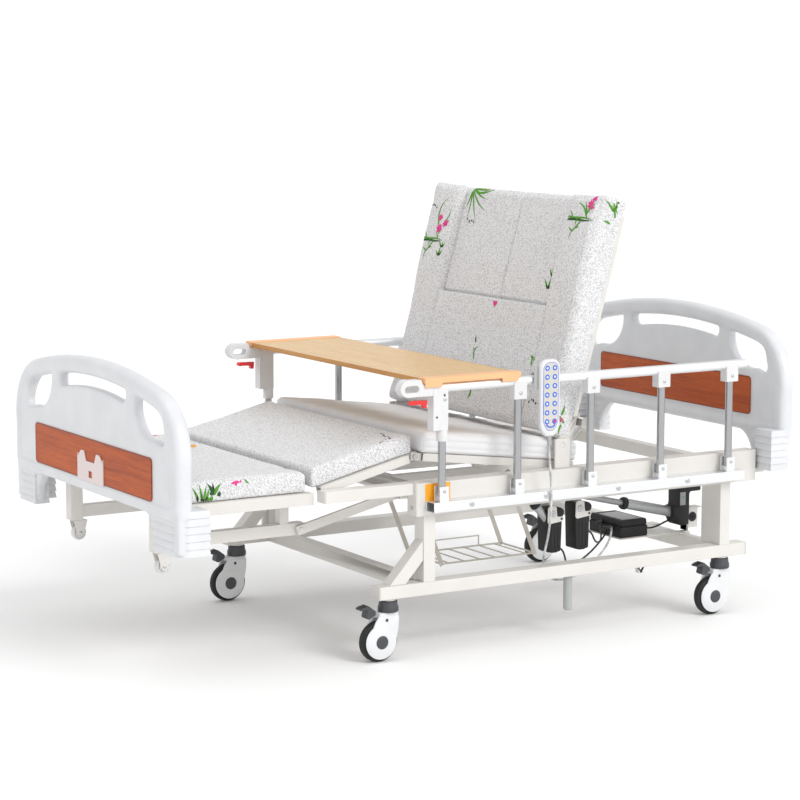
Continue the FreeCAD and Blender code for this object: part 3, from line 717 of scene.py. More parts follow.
def lathe(
        name: str, profile: Sequence[tuple[float, float]], centre: Point, axis: Point = (0, 1, 0),
        steps: int = 64) -> bpy.types.Object:
    """Turn a profile about a line.

    Args:
        name: The piece's name.
        profile: Radius and offset along the line, in pairs.
        centre: A point on the line, where the offset is 0.
        axis: The line's direction.
        steps: How many steps the turn has.

    Returns:
        The turned piece.
    """
    turn = Matrix.Translation(centre) @ Vector((0, 0,
            1)).rotation_difference(Vector(axis)).to_matrix().to_4x4()
    work = bmesh.new()
    rings = []
    for step in range(steps):
        angle = math.tau * step / steps
        rings.append(
            [work.verts.new(turn @ Vector((radius * math.cos(angle), radius * math.sin(angle), along)))
                for radius, along in profile])
    for ring, after in zip(rings, rings[1:] + rings[:1]):
        for index in range(len(profile) - 1):
            work.faces.new((ring[index], after[index], after[index + 1], ring[index + 1]))
    bmesh.ops.remove_doubles(work, verts=work.verts, dist=1e-6)
    bmesh.ops.recalc_face_normals(work, faces=work.faces)
    mesh = bpy.data.meshes.new(name)
    work.to_mesh(mesh)
    work.free()
    obj = linked(name, mesh)
    mesh.set_sharp_from_angle(angle=math.radians(40))
    return obj


def slab(
        name: str, outlines: Sequence[Sequence[Point]], span: tuple[float, float], plane: Matrix,
        rounding: float, smooth: bool = True) -> bpy.types.Object:
    """A flat moulding with rounded edges, cut from closed outlines.

    Args:
        name: The piece's name.
        outlines: The outer outline and then its holes, in the drawing plane.
        span: Where it starts and ends along the plane's normal.
        plane: Turns drawing coordinates into the bed's frame.
        rounding: The radius of its edges.
        smooth: Whether its outlines are smooth curves.

    Returns:
        The piece.
    """
    curve = bpy.data.curves.new(name, "CURVE")
    curve.dimensions = "2D"
    curve.fill_mode = "BOTH"
    curve.extrude = (span[1] - span[0]) / 2 - rounding
    curve.bevel_depth = rounding
    curve.bevel_resolution = 3
    curve.offset = -rounding
    for outline in outlines:
        spline = curve.splines.new("POLY")
        spline.points.add(len(outline) - 1)
        for point, (across, up) in zip(spline.points, outline):
            point.co = (across, up, 0, 1)
        spline.use_cyclic_u = True
    holder = bpy.data.objects.new(name + "_curve", curve)
    bpy.context.scene.collection.objects.link(holder)
    graph = bpy.context.evaluated_depsgraph_get()
    mesh = bpy.data.meshes.new_from_object(holder.evaluated_get(graph))
    bpy.data.objects.remove(holder)
    mesh.name = name
    mesh.transform(plane @ Matrix.Translation((0, 0, (span[0] + span[1]) / 2)))
    work = bmesh.new()
    work.from_mesh(mesh)
    bmesh.ops.remove_doubles(work, verts=work.verts, dist=1e-5)
    work.to_mesh(mesh)
    work.free()
    obj = linked(name, mesh, smooth)
    mesh.set_sharp_from_angle(angle=math.radians(SHARP_ANGLE))
    return obj


FACING_X = Matrix(((0, 0, 1, 0), (1, 0, 0, 0), (0, 1, 0, 0), (0, 0, 0, 1)))
FACING_Y = Matrix(((1, 0, 0, 0), (0, 0, -1, 0), (0, 1, 0, 0), (0, 0, 0, 1)))


def arc_points(start: Point, middle: Point, end: Point, count: int = 12) -> list[tuple[float, float]]:
    """Points along the arc through three points, without its start.

    Args:
        start: Where it starts.
        middle: A point on it.
        end: Where it ends.
        count: How many points to give.

    Returns:
        The points.
    """
    (ax, ay), (bx, by), (cx, cy) = start, middle, end
    across = 2 * (ax * (by - cy) + bx * (cy - ay) + cx * (ay - by))
    squares = [ax * ax + ay * ay, bx * bx + by * by, cx * cx + cy * cy]
    ox = (squares[0] * (by - cy) + squares[1] * (cy - ay) + squares[2] * (ay - by)) / across
    oy = (squares[0] * (cx - bx) + squares[1] * (ax - cx) + squares[2] * (bx - ax)) / across
    radius = math.hypot(ax - ox, ay - oy)
    first, mid, last = (math.atan2(y - oy, x - ox) for x, y in (start, middle, end))
    sweep = (last - first) % math.tau
    if (mid - first) % math.tau > sweep:
        sweep -= math.tau
    return [
        (ox + radius * math.cos(first + sweep * step / count),
            oy + radius * math.sin(first + sweep * step / count)) for step in range(1, count + 1)]


def traced(points: Sequence[Sequence[float]], unit: float = MM, count: int = 12) -> list[tuple[float, float]]:
    """A closed outline from corners and arcs.

    Args:
        points: Corners, and arcs as a middle and an end together.
        unit: The length of one unit, in metres.
        count: How many points each arc has.

    Returns:
        The outline's points.
    """
    last = tuple(points[-1][-2:])
    result = []
    for point in points:
        end = tuple(point[-2:])
        result += arc_points(last, tuple(point[:2]), end, count) if len(point) == 4 else [end]
        last = end
    return [(x * unit, y * unit) for x, y in result]


def rounded_box(name: str, low: Point, high: Point, radius: float, segments: int = 3) -> bpy.types.Object:
    """A box with rounded edges.

    Args:
        name: The piece's name.
        low: Its lowest corner.
        high: Its highest corner.
        radius: The radius of its edges.
        segments: How many faces make each round.

    Returns:
        The piece.
    """
    work = bmesh.new()
    bmesh.ops.create_cube(work, size=1.0)
    size = Vector(high) - Vector(low)
    bmesh.ops.scale(work, vec=size, verts=work.verts)
    bmesh.ops.translate(work, vec=(Vector(high) + Vector(low)) / 2, verts=work.verts)
    mesh = bpy.data.meshes.new(name)
    work.to_mesh(mesh)
    work.free()
    return softened(linked(name, mesh), radius, segments)


def joined(name: str, pieces: Sequence[bpy.types.Object]) -> bpy.types.Object:
    """Join pieces into one, keeping their materials.

    Args:
        name: The joined piece's name.
        pieces: The pieces.

    Returns:
        The joined piece.
    """
    with bpy.context.temp_override(active_object=pieces[0], selected_editable_objects=list(pieces)):
        bpy.ops.object.join()
    pieces[0].name = name
    return pieces[0]


def dyed(obj: bpy.types.Object, finish: Finish) -> bpy.types.Object:
    """Give a piece one finish before it is joined to others.

    Args:
        obj: The piece.
        finish: Its finish.

    Returns:
        The same piece.
    """
    obj.data.materials.clear()
    obj.data.materials.append(finish.material())
    return obj


def grooved(
        piece: bpy.types.Object, lines: Sequence[Sequence[Point]], depth: float, half_width: float,
        along: Point) -> None:
    """Press sewn lines into a piece.

    Args:
        piece: The piece.
        lines: Each line as a run of points on the surface.
        depth: How deep the seam lies.
        half_width: How far its slope reaches to either side.
        along: The direction in which it sinks.
    """
    sink = Vector(along).normalized()
    runs = [[Vector(point) for point in line] for line in lines]
    for vertex in piece.data.vertices:
        nearest = 1.0
        for run in runs:
            for start, end in zip(run, run[1:]):
                span = end - start
                share = min(1.0, max(0.0, (vertex.co - start).dot(span) / span.length_squared))
                off = vertex.co - (start + span * share)
                off -= sink * off.dot(sink)
                nearest = min(nearest, off.length)
        if nearest < 4 * half_width:
            vertex.co += sink * depth * math.exp(-(nearest / half_width) ** 2)


@dataclass
class Cushion:
    """One foam cushion in its cover.

    Attributes:
        node: The CAD node that it stands for.
        body: The body that it rides on.
        finish: The cover's finish.
        origin: The origin of its own frame.
        tilt: The turn of its own frame about +Y, in degrees.
        shape: The cushion's profile in its own X and Z, in millimetres.
        half: Half its width, in millimetres.
        swell: How far the cover may bulge, in metres.
        inset: How much smaller the cushion is before it swells, in metres.
        voxel: The size of the mesh's cells, in metres.
        edge: The radius of its edges before it swells, in metres.
    """

    node: str
    body: str
    finish: Finish
    origin: tuple[float, float, float]
    tilt: float
    shape: Sequence[Point]
    half: float
    swell: float = 0.012
    inset: float = 0.003
    voxel: float = 0.0065
    edge: float = 0.008
    extra: Matrix = field(init=False)

    def __post_init__(self) -> None:
        """Work out the matrix of the cushion's own frame."""
        self.extra = Matrix.Translation(self.origin) @ Matrix.Rotation(math.radians(self.tilt), 4, "Y")

    def block(self) -> bpy.types.Object:
        """The cushion as a plain block in its own frame, a little smaller than it ends up."""
        work = bmesh.new()
        middle = Vector((sum(p[0] for p in self.shape), 0,
                sum(p[1] for p in self.shape))) / len(self.shape) * MM
        rings = []
        for y in (-self.half * MM + self.inset, self.half * MM - self.inset):
            ring = []
            for x, z in self.shape:
                spot = Vector((x * MM, y, z * MM))
                toward = Vector((middle.x - spot.x, 0, middle.z - spot.z))
                spot.x += math.copysign(self.inset, toward.x)
                spot.z += math.copysign(self.inset * 0.7, toward.z)
                ring.append(work.verts.new(spot))
            rings.append(ring)
        count = len(self.shape)
        for index in range(count):
            after = (index + 1) % count
            work.faces.new((rings[0][index], rings[0][after], rings[1][after], rings[1][index]))
        work.faces.new(rings[0])
        work.faces.new(list(reversed(rings[1])))
        bmesh.ops.recalc_face_normals(work, faces=work.faces)
        mesh = bpy.data.meshes.new(self.node + "_shown")
        work.to_mesh(mesh)
        work.free()
        return linked(self.node + "_shown", mesh)

    def swollen(self) -> bpy.types.Object:
        piece = softened(self.block(), self.edge, 3)
        remesh = piece.modifiers.new("remesh", "REMESH")
        remesh.mode = "VOXEL"
        remesh.voxel_size = self.voxel * 1.0
        applied(piece)
        rest = np.array([vertex.co for vertex in piece.data.vertices])
        cloth = piece.modifiers.new("cloth", "CLOTH")
        cloth.settings.use_pressure = True
        cloth.settings.uniform_pressure_force = 4.0
        cloth.settings.effector_weights.gravity = 0.0
        cloth.settings.quality = 4
        cloth.settings.tension_stiffness = 20
        cloth.settings.bending_stiffness = 1.5
        scene = bpy.context.scene
        for frame in range(1, 21):
            scene.frame_set(frame)
        graph = bpy.context.evaluated_depsgraph_get()
        blown = piece.evaluated_get(graph).to_mesh()
        moved = np.array([vertex.co for vertex in blown.vertices]) - rest
        far = np.linalg.norm(moved, axis=1, keepdims=True)
        held = moved * np.minimum(1.0, self.swell / np.maximum(far, 1e-9))
        piece.modifiers.clear()
        scene.frame_set(1)
        piece.data.vertices.foreach_set("co", (rest + held).ravel())
        piece.data.update()
        return piece

    def limits(self) -> tuple[Vector, Vector]:
        """The lowest and highest corner of the CAD cushion in its own frame."""
        xs = [p[0] * MM for p in self.shape]
        zs = [p[1] * MM for p in self.shape]
        return Vector((min(xs), -self.half * MM, min(zs))), Vector((max(xs), self.half * MM, max(zs)))

    def fitted(self, piece: bpy.types.Object, proud: float) -> None:
        """Keep the cover inside the CAD cushion, flat underneath, and up to proud above it.

        Args:
            piece: The cushion.
            proud: How far the crown may stand above the CAD cushion.
        """
        low, high = self.limits()
        for vertex in piece.data.vertices:
            spot = vertex.co
            spot.x = min(max(spot.x, low.x + 0.0005), high.x - 0.0005)
            spot.y = min(max(spot.y, low.y + 0.0005), high.y - 0.0005)
            spot.z = min(max(spot.z, low.z + 0.0008), high.z + proud)

    def finished(self, piece: bpy.types.Object,
            relief: Callable[[Vector], None] | None = None) -> bpy.types.Object:
        """Args:
            piece: The cushion in its own frame.
            relief: What moves a point of the finished cover, for its folds and seams.

        Returns:
            The same piece.
        """
        smooth = piece.modifiers.new("relax", "SMOOTH")
        smooth.factor = 0.5
        smooth.iterations = 2
        finer = piece.modifiers.new("finer", "SUBSURF")
        finer.levels = finer.render_levels = 1
        applied(piece)
        if relief is not None:
            for vertex in piece.data.vertices:
                relief(vertex.co)
        piece.data.transform(self.extra)
        piece.data.shade_smooth()
        place(piece, self.finish, self.body, self.node)
        LOG.info("%s: %d faces", piece.name, len(piece.data.polygons))
        return piece


def folding(pieces: Iterable[bpy.types.Object]) -> None:
    """Give a cushion and each printed piece on it its own copy of its mesh.

    Args:
        pieces: The cushion and the printed pieces on it.
    """
    for piece in pieces:
        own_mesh(piece)


class Surface:
    """A finished cushion's top, on which printed patches are laid."""

    def __init__(self, piece: bpy.types.Object, frame: Matrix) -> None:
        """Index the cushion's mesh.

        Args:
            piece: The cushion.
            frame: The cushion's own frame, whose +Z is up out of the cover.
        """
        self.frame = frame
        self.up = (frame.to_3x3() @ Vector((0, 0, 1))).normalized()
        self.tree = BVHTree.FromObject(piece, bpy.context.evaluated_depsgraph_get())

    def at(self, along: float, across: float, lift: float) -> Vector | None:
        """The point of the cover over a place in its own frame.

        Args:
            along: The place's X.
            across: The place's Y.
            lift: How far above the cover.

        Returns:
            The point in the bed's frame, or None off the cover or on its turned-down edge.
        """
        above = self.frame @ Vector((along, across, 1.0))
        hit, normal, _, _ = self.tree.ray_cast(above, -self.up, 2.0)
        if hit is None or normal.dot(self.up) < 0.35:
            return None
        return hit + self.up * lift


class Printer:
    """Lays printed strokes on a cushion, one thin piece for each ink."""

    LIFT = 0.0006
    THICK = 0.0004
    BOLD = 1.5

    def __init__(self, name: str, surface: Surface, body: str, seed: int) -> None:
        """Start a print.

        Args:
            name: The start of its pieces' names.
            surface: Where it is printed.
            body: The body that it rides on.
            seed: The seed of its small variations.
        """
        self.name = name
        self.surface = surface
        self.body = body
        self.random = random.Random(seed)
        self.sheets: dict[str, tuple[Finish, bmesh.types.BMesh]] = {}

    def sheet(self, ink: Finish) -> bmesh.types.BMesh:
        """The mesh that holds an ink's strokes."""
        return self.sheets.setdefault(ink.name, (ink, bmesh.new()))[1]

    def stroke(self, ink: Finish, points: Sequence[tuple[float, float]], wide: float,
            blunt: float = 0.15) -> None:
        """One brush stroke through three or more points, thickest a third of the way along.

        Args:
            ink: Its ink.
            points: Its points in the surface's X and Y, in millimetres.
            wide: Its greatest width, in millimetres.
            blunt: The share of that width that it keeps at its root.
        """
        work = self.sheet(ink)
        spots = [Vector((x * MM, y * MM)) for x, y in points]
        spots = [2 * spots[0] - spots[1]] + spots + [2 * spots[-1] - spots[-2]]
        line = []
        for a, b, c, d in zip(spots, spots[1:], spots[2:], spots[3:]):
            for step in range(6):
                t = step / 6
                line.append(
                    0.5 * (2 * b + (c - a) * t + (2 * a - 5 * b + 4 * c - d) * t * t + (3 * b - a - 3 * c + d)
                        * t ** 3))
        line.append(spots[-2])
        before = None
        for index, spot in enumerate(line):
            share = index / (len(line) - 1)
            ahead = line[min(index + 1, len(line) - 1)] - line[max(index - 1, 0)]
            side = Vector((-ahead.y, ahead.x)).normalized()
            body = blunt + (1 - blunt) * math.sin(math.pi * min(1.0, 0.12 + share * 0.88) ** 0.75)
            half = max(0.00018, wide * MM * self.BOLD * 0.5 * body * (1 - share ** 6))
            found = [
                self.surface.at(place.x, place.y, self.LIFT)
                for place in (spot - side * half, spot + side * half)]
            if None in found or (before and (found[0] - before[0].co).length > 0.03):
                before = None
                continue
            rail = [work.verts.new(point) for point in found]
            if before:
                work.faces.new((before[0], rail[0], rail[1], before[1]))
            before = rail

    def patch(self, ink: Finish, outline: Sequence[tuple[float, float]]) -> None:
        """A filled shape.

        Args:
            ink: Its ink.
            outline: Its corners in the surface's X and Y, in millimetres.
        """
        work = self.sheet(ink)
        centre = (sum(x for x, _ in outline) / len(outline), sum(y for _, y in outline) / len(outline))
        found = [self.surface.at(x * MM, y * MM, self.LIFT) for x, y in [centre, *outline]]
        if None in found:
            return
        middle, *ring = [work.verts.new(point) for point in found]
        for one, two in zip(ring, ring[1:] + ring[:1]):
            work.faces.new((middle, one, two))

    def leaf(
            self, x: float, y: float, turn: float, long: float, wide: float, bend: float = 0.0,
            ink: Finish = Finishes.LEAF) -> None:
        """A slender leaf from a root, turned in degrees from +X and bent to one side.

        Args:
            x: The root's X, in millimetres.
            y: The root's Y.
            turn: Its direction.
            long: Its length.
            wide: Its width.
            bend: How far its tip turns away, in degrees.
            ink: Its ink.
        """
        points, heading, place = [(x, y)], math.radians(turn), (x, y)
        for _ in range(4):
            heading += math.radians(bend) / 4
            place = (place[0] + long / 4 * math.cos(heading), place[1] + long / 4 * math.sin(heading))
            points.append(place)
        self.stroke(ink, points, wide)

    def flower(self, x: float, y: float, radius: float) -> None:
        """A ragged flower of pointed petals.

        Args:
            x: Its centre's X, in millimetres.
            y: Its centre's Y.
            radius: Its radius.
        """
        for number in range(7):
            turn = 360 / 7 * number + self.random.uniform(-14, 14)
            long = radius * self.random.uniform(0.7, 1.1)
            self.leaf(x, y, turn, long, radius * 0.42, self.random.uniform(-25, 25), Finishes.PETAL)

    def dabs(self, x: float, y: float, step: Point, count: int, size: float) -> None:
        """A row of short dark dabs that say nothing.

        Args:
            x: The first dab's X, in millimetres.
            y: Its Y.
            step: From one dab to the next.
            count: How many.
            size: Their length.
        """
        for number in range(count):
            spot = (x + step[0] * number + self.random.uniform(-2, 2), y + step[1] * number)
            self.leaf(
                *spot, self.random.uniform(0, 360), size * self.random.uniform(0.6, 1.0), size * 0.4,
                self.random.uniform(-40, 40), Finishes.SOOT)

    def branch(self, x: float, y: float, long: float) -> None:
        """A branch across the cushion towards -Y with a twig under it.

        Args:
            x: The root's X, in millimetres.
            y: The root's Y.
            long: Its length.
        """
        for shift, wide, ink in ((5, 4.5, Finishes.LEAF), (-4, 5.0, Finishes.STEM)):
            self.stroke(
                ink, [(x + shift, y), (x + shift * 0.6, y - long * 0.35), (x + shift, y - long * 0.7),
                    (x + shift * 0.3, y - long)], wide, 0.6)
        twig = [
            (x - 4, y - long * 0.62), (x - 30, y - long * 0.42), (x - 44, y - long * 0.30),
            (x - 66, y - long * 0.24)]
        self.stroke(Finishes.LEAF, twig, 3.6, 0.5)
        self.leaf(x - 40, y - long * 0.32, 55, 26, 3.5, 20)
        self.leaf(x - 30, y - long * 0.44, -60, 20, 3.5, -20)
        for share, turn in ((0.2, 30), (0.45, 150), (0.8, 25)):
            self.leaf(x + 5, y - long * share, turn, 30, 3.5, 25)

    def tuft(self, x: float, y: float, tall: float, count: int = 4) -> None:
        """A clump of short blades with dark roots.

        Args:
            x: The root's X, in millimetres.
            y: The root's Y.
            tall: How tall its blades are.
            count: How many blades.
        """
        for number in range(count):
            turn = -28 + 56 * number / max(1, count - 1) + self.random.uniform(-5, 5)
            self.leaf(x, y + number * 3, turn, tall * self.random.uniform(0.75, 1.1), tall * 0.14, turn * 0.4)
            self.leaf(x, y + number * 3, turn, tall * 0.42, tall * 0.12, 0, Finishes.SOOT)

    def heart(self, x: float, y: float, size: float) -> None:
        """A small heart, its point towards -X.

        Args:
            x: Its centre's X, in millimetres.
            y: Its centre's Y.
            size: Half its width.
        """
        outline = []
        for step in range(24):
            t = math.tau * step / 24
            outline.append(
                (x + size / 16 * (13 * math.cos(t) - 5 * math.cos(2 * t) - 2 * math.cos(3 * t)
                        - math.cos(4 * t)), y + size * math.sin(t) ** 3))
        self.patch(Finishes.PETAL, outline)

    def finish(self) -> list[bpy.types.Object]:
        """Make the pieces.

        Returns:
            One thin closed piece for each ink.
        """
        pieces = []
        for ink, work in self.sheets.values():
            mesh = bpy.data.meshes.new(f"{self.name}_{ink.name}")
            loose = [vertex for vertex in work.verts if not vertex.link_faces]
            bmesh.ops.delete(work, geom=loose, context="VERTS")
            bmesh.ops.recalc_face_normals(work, faces=work.faces)
            work.to_mesh(mesh)
            work.free()
            piece = linked(mesh.name, mesh)
            thick = piece.modifiers.new("thick", "SOLIDIFY")
            thick.thickness = self.THICK
            thick.offset = 0
            pieces.append(place(applied(piece), ink, self.body))
        return pieces


FLAT = Matrix.Identity(4)
NEAR_FACE = Matrix(((1, 0, 0, 0), (0, 0, -1, 0), (0, 1, 0, 0), (0, 0, 0, 1)))


@dataclass
class BackCushion:
    """The back cushion with its sunk halves, raised wings and print.

    Attributes:
        hinge: The back frame's hinge line.
        angle: How steep the back stands, in degrees.
        seam_y: Where the wings start, in millimetres from the middle.
        sunk_from: Where the sunk halves start, up along the back.
        wing: How far the wings rise.
        sink: How far the halves lie below the wings' foot.
    """

    hinge: tuple[float, float, float] = (0.255, 0.0, 0.604)
    angle: float = 74.2
    seam_y: float = 322.0
    sunk_from: float = 416.0
    wing: float = 0.020
    sink: float = 0.016

    def relief(self, x: float, y: float) -> float:
        """How far the cover rises at a place, in metres.

        Args:
            x: Up along the back, in millimetres.
            y: Across, in millimetres.

        Returns:
            The rise.
        """
        def step(low: float, high: float, at: float) -> float:
            """A smooth step from 0 at low to 1 at high."""
            share = min(1.0, max(0.0, (at - low) / (high - low)))
            return share * share * (3 - 2 * share)

        upper = step(self.sunk_from - 3, self.sunk_from + 3, x)
        side = step(self.seam_y - 3, self.seam_y + 4, abs(y))
        crown = math.sin(math.pi * min(1.0, max(0.0, (abs(y) - self.seam_y)
                    / (PAD_HALF - self.seam_y)))) ** 0.6
        rise = side * (0.15 + 0.85 * step(300, 560, x)) * self.wing * (0.6 + 0.4 * crown)
        rise -= self.sink * upper * (1 - side)
        rise += 0.007 * upper * (1 - side) * math.sin(math.pi * min(1.0, abs(y + 25) / 300)) ** 0.6
        rise -= 0.009 * upper * (1 - side) * math.exp(-((y + 25) / 3.5) ** 2)
        rise -= 0.006 * (1 - upper) * math.exp(-((abs(y) - self.seam_y) / 3.5) ** 2)
        rise -= 0.012 * (1 - side) * math.exp(-((x - self.sunk_from - 4) / 4.0) ** 2)
        rise -= 0.010 * upper * math.exp(-((abs(y) - self.seam_y + 4) / 4.0) ** 2)
        return rise

    def build(self) -> bpy.types.Object:
        """Make the cushion and its print.

        Returns:
            The cushion.
        """
        foam = Cushion(
            "back_pad", "back_section", Finishes.PRINTED, self.hinge, -self.angle,
            [(14, -34.6), (792.7, -34.6), (792.7, 50.4), (14, 50.4)], 500, 0.012, 0.003, 0.006)
        piece = foam.swollen()
        foam.fitted(piece, 0.006)

        def folds(spot: Vector) -> None:
            """Lift a point of the lying side to the cover's relief."""
            fade = min(1.0, max(0.0, (spot.z - 0.02) / 0.02))
            spot.z += fade * self.relief(spot.x / MM, spot.y / MM)

        foam.finished(piece, folds)
        front = Printer("back_print", Surface(piece, foam.extra @ FLAT), "back_section", 3)
        side = Printer("back_side_print", Surface(piece, foam.extra @ NEAR_FACE), "back_section", 4)
        self.print_front(front)
        self.print_side(side)
        prints = front.finish() + side.finish()
        LOG.info("back cushion: %d printed pieces", len(prints))
        folding(
            [piece, *prints])
        return piece

    def print_front(self, brush: Printer) -> None:
        """The leaves, flowers and dabs on the lying side.

        Args:
            brush: What prints them.
        """
        brush.branch(579, 470, 122)
        for x, y, radius in ((619, 378, 19), (640, 350, 17), (657, 384, 15)):
            brush.flower(x, y, radius)
        brush.stroke(Finishes.LEAF, [(600, 372), (660, 398), (700, 392), (726, 366)], 4)
        brush.stroke(Finishes.LEAF, [(640, 352), (668, 340), (690, 338)], 3)
        brush.tuft(527, 346, 30, 3)
        brush.tuft(556, 338, 26, 3)
        for turn, long, bend in (
                (258, 180, 30), (245, 200, 70), (225, 190, 95), (212, 150, 40), (200, 130, 15),
                (188, 110, -10), (235, 120, 25), (216, 165, 120), (180, 80, -25)):
            brush.leaf(776, 282, turn, long, 4.2, bend)
        for x, y, radius in ((781, 236, 8), (778, 193, 8)):
            brush.flower(x, y, radius)
        brush.dabs(700, 470, (-2, -12), 5, 10)
        brush.dabs(668, 272, (-3, -14), 4, 12)
        brush.stroke(Finishes.LEAF, [(520, -306), (560, -296), (600, -312), (640, -316)], 5)
        brush.stroke(Finishes.LEAF, [(515, -300), (548, -310), (572, -300), (600, -292)], 4)
        brush.flower(600, -308, 16)
        brush.tuft(510, -300, 34, 4)
        brush.tuft(470, -290, 36, 3)
        brush.branch(697, -346, 124)
        brush.flower(742, -452, 19)
        brush.flower(766, -462, 13)
        for turn, long, bend in ((20, 70, 60), (-15, 55, -40), (5, 48, 30)):
            brush.leaf(712, -440, turn, long, 4, bend)
        brush.heart(398, -32, 12)
        brush.dabs(404, 12, (0, -6), 2, 4)
        brush.leaf(262, 26, 12, 26, 4, 10, Finishes.SOOT)
        brush.stroke(Finishes.LEAF, [(207, 16), (228, 22), (242, 18), (252, 2)], 4)
        brush.leaf(236, 20, 60, 18, 3)
        brush.leaf(240, -320, 50, 26, 7, 15)
        brush.leaf(222, -314, 20, 24, 5, -15)
        brush.leaf(120, -8, 190, 30, 7, 15)
        brush.leaf(100, -14, 170, 26, 6, -20)
        brush.leaf(112, -324, 182, 60, 3.5, 3, Finishes.SOOT)
        brush.dabs(112, -352, (0, -13), 5, 11)
        for x, y, radius in ((82, -462, 15), (52, -456, 14)):
            brush.flower(x, y, radius)
        for turn, long in ((20, 60), (-25, 50), (60, 40), (150, 40)):
            brush.leaf(70, -452, turn, long, 5, 20)

    def print_side(self, brush: Printer) -> None:
        """The leaves that run over the near edge.

        Args:
            brush: What prints them.
        """
        for x, z, turn, long in (
                (740, 18, 30, 46), (740, 10, -20, 40), (722, 4, 10, 44), (765, 20, 200, 40),
                (700, 16, 60, 26), (66, 12, 30, 42), (60, 20, 160, 34), (90, 24, -30, 36)):
            brush.leaf(x, z, turn, long, 4.5, 35)
        brush.flower(74, 26, 12)
        brush.dabs(770, 6, (-9, 4), 4, 9)


@dataclass
class SeatCushion:
    """The plain seat cushion: a soft, creased cover over two layers.

    Attributes:
        hinge: The seat frame's hinge line.
        tilt: How far the seat leans, in degrees.
        layers: Heights of the side's piped lines above the frame, in millimetres.
    """

    hinge: tuple[float, float, float] = (0.300, 0.0, 0.532)
    tilt: float = 7.25
    layers: tuple[float, ...] = (31.0, 52.0)

    def build(self) -> bpy.types.Object:
        """Make the cushion.

        Returns:
            The cushion.
        """
        foam = Cushion(
            "seat_pad", "seat_section", Finishes.WHITE, self.hinge, self.tilt,
            [(-556, 13.3), (42, 13.3), (42, 75.3), (-556, 75.3)], PAD_HALF, 0.012, 0.003, 0.0065)
        piece = foam.swollen()
        foam.fitted(piece, 0.004)

        def creased(spot: Vector) -> None:
            """Crease the top and press the piped lines into the sides."""
            x, y, z = spot / MM
            if z > 56:
                fold = noise.noise(Vector((x / 260, y / 95, 3.1))) + 0.5 * noise.noise(
                    Vector((x / 120, y / 45, 8.7)))
                spot.z += 0.0045 * fold * min(1.0, (z - 56) / 12)
            edge = max(abs(y) - 440, 0) / 38
            groove = sum(math.exp(-((z - layer) / 3.0) ** 2) for layer in self.layers)
            spot.y -= math.copysign(0.0055 * groove * edge, y)

        foam.finished(piece, creased)
        folding([piece])
        return piece


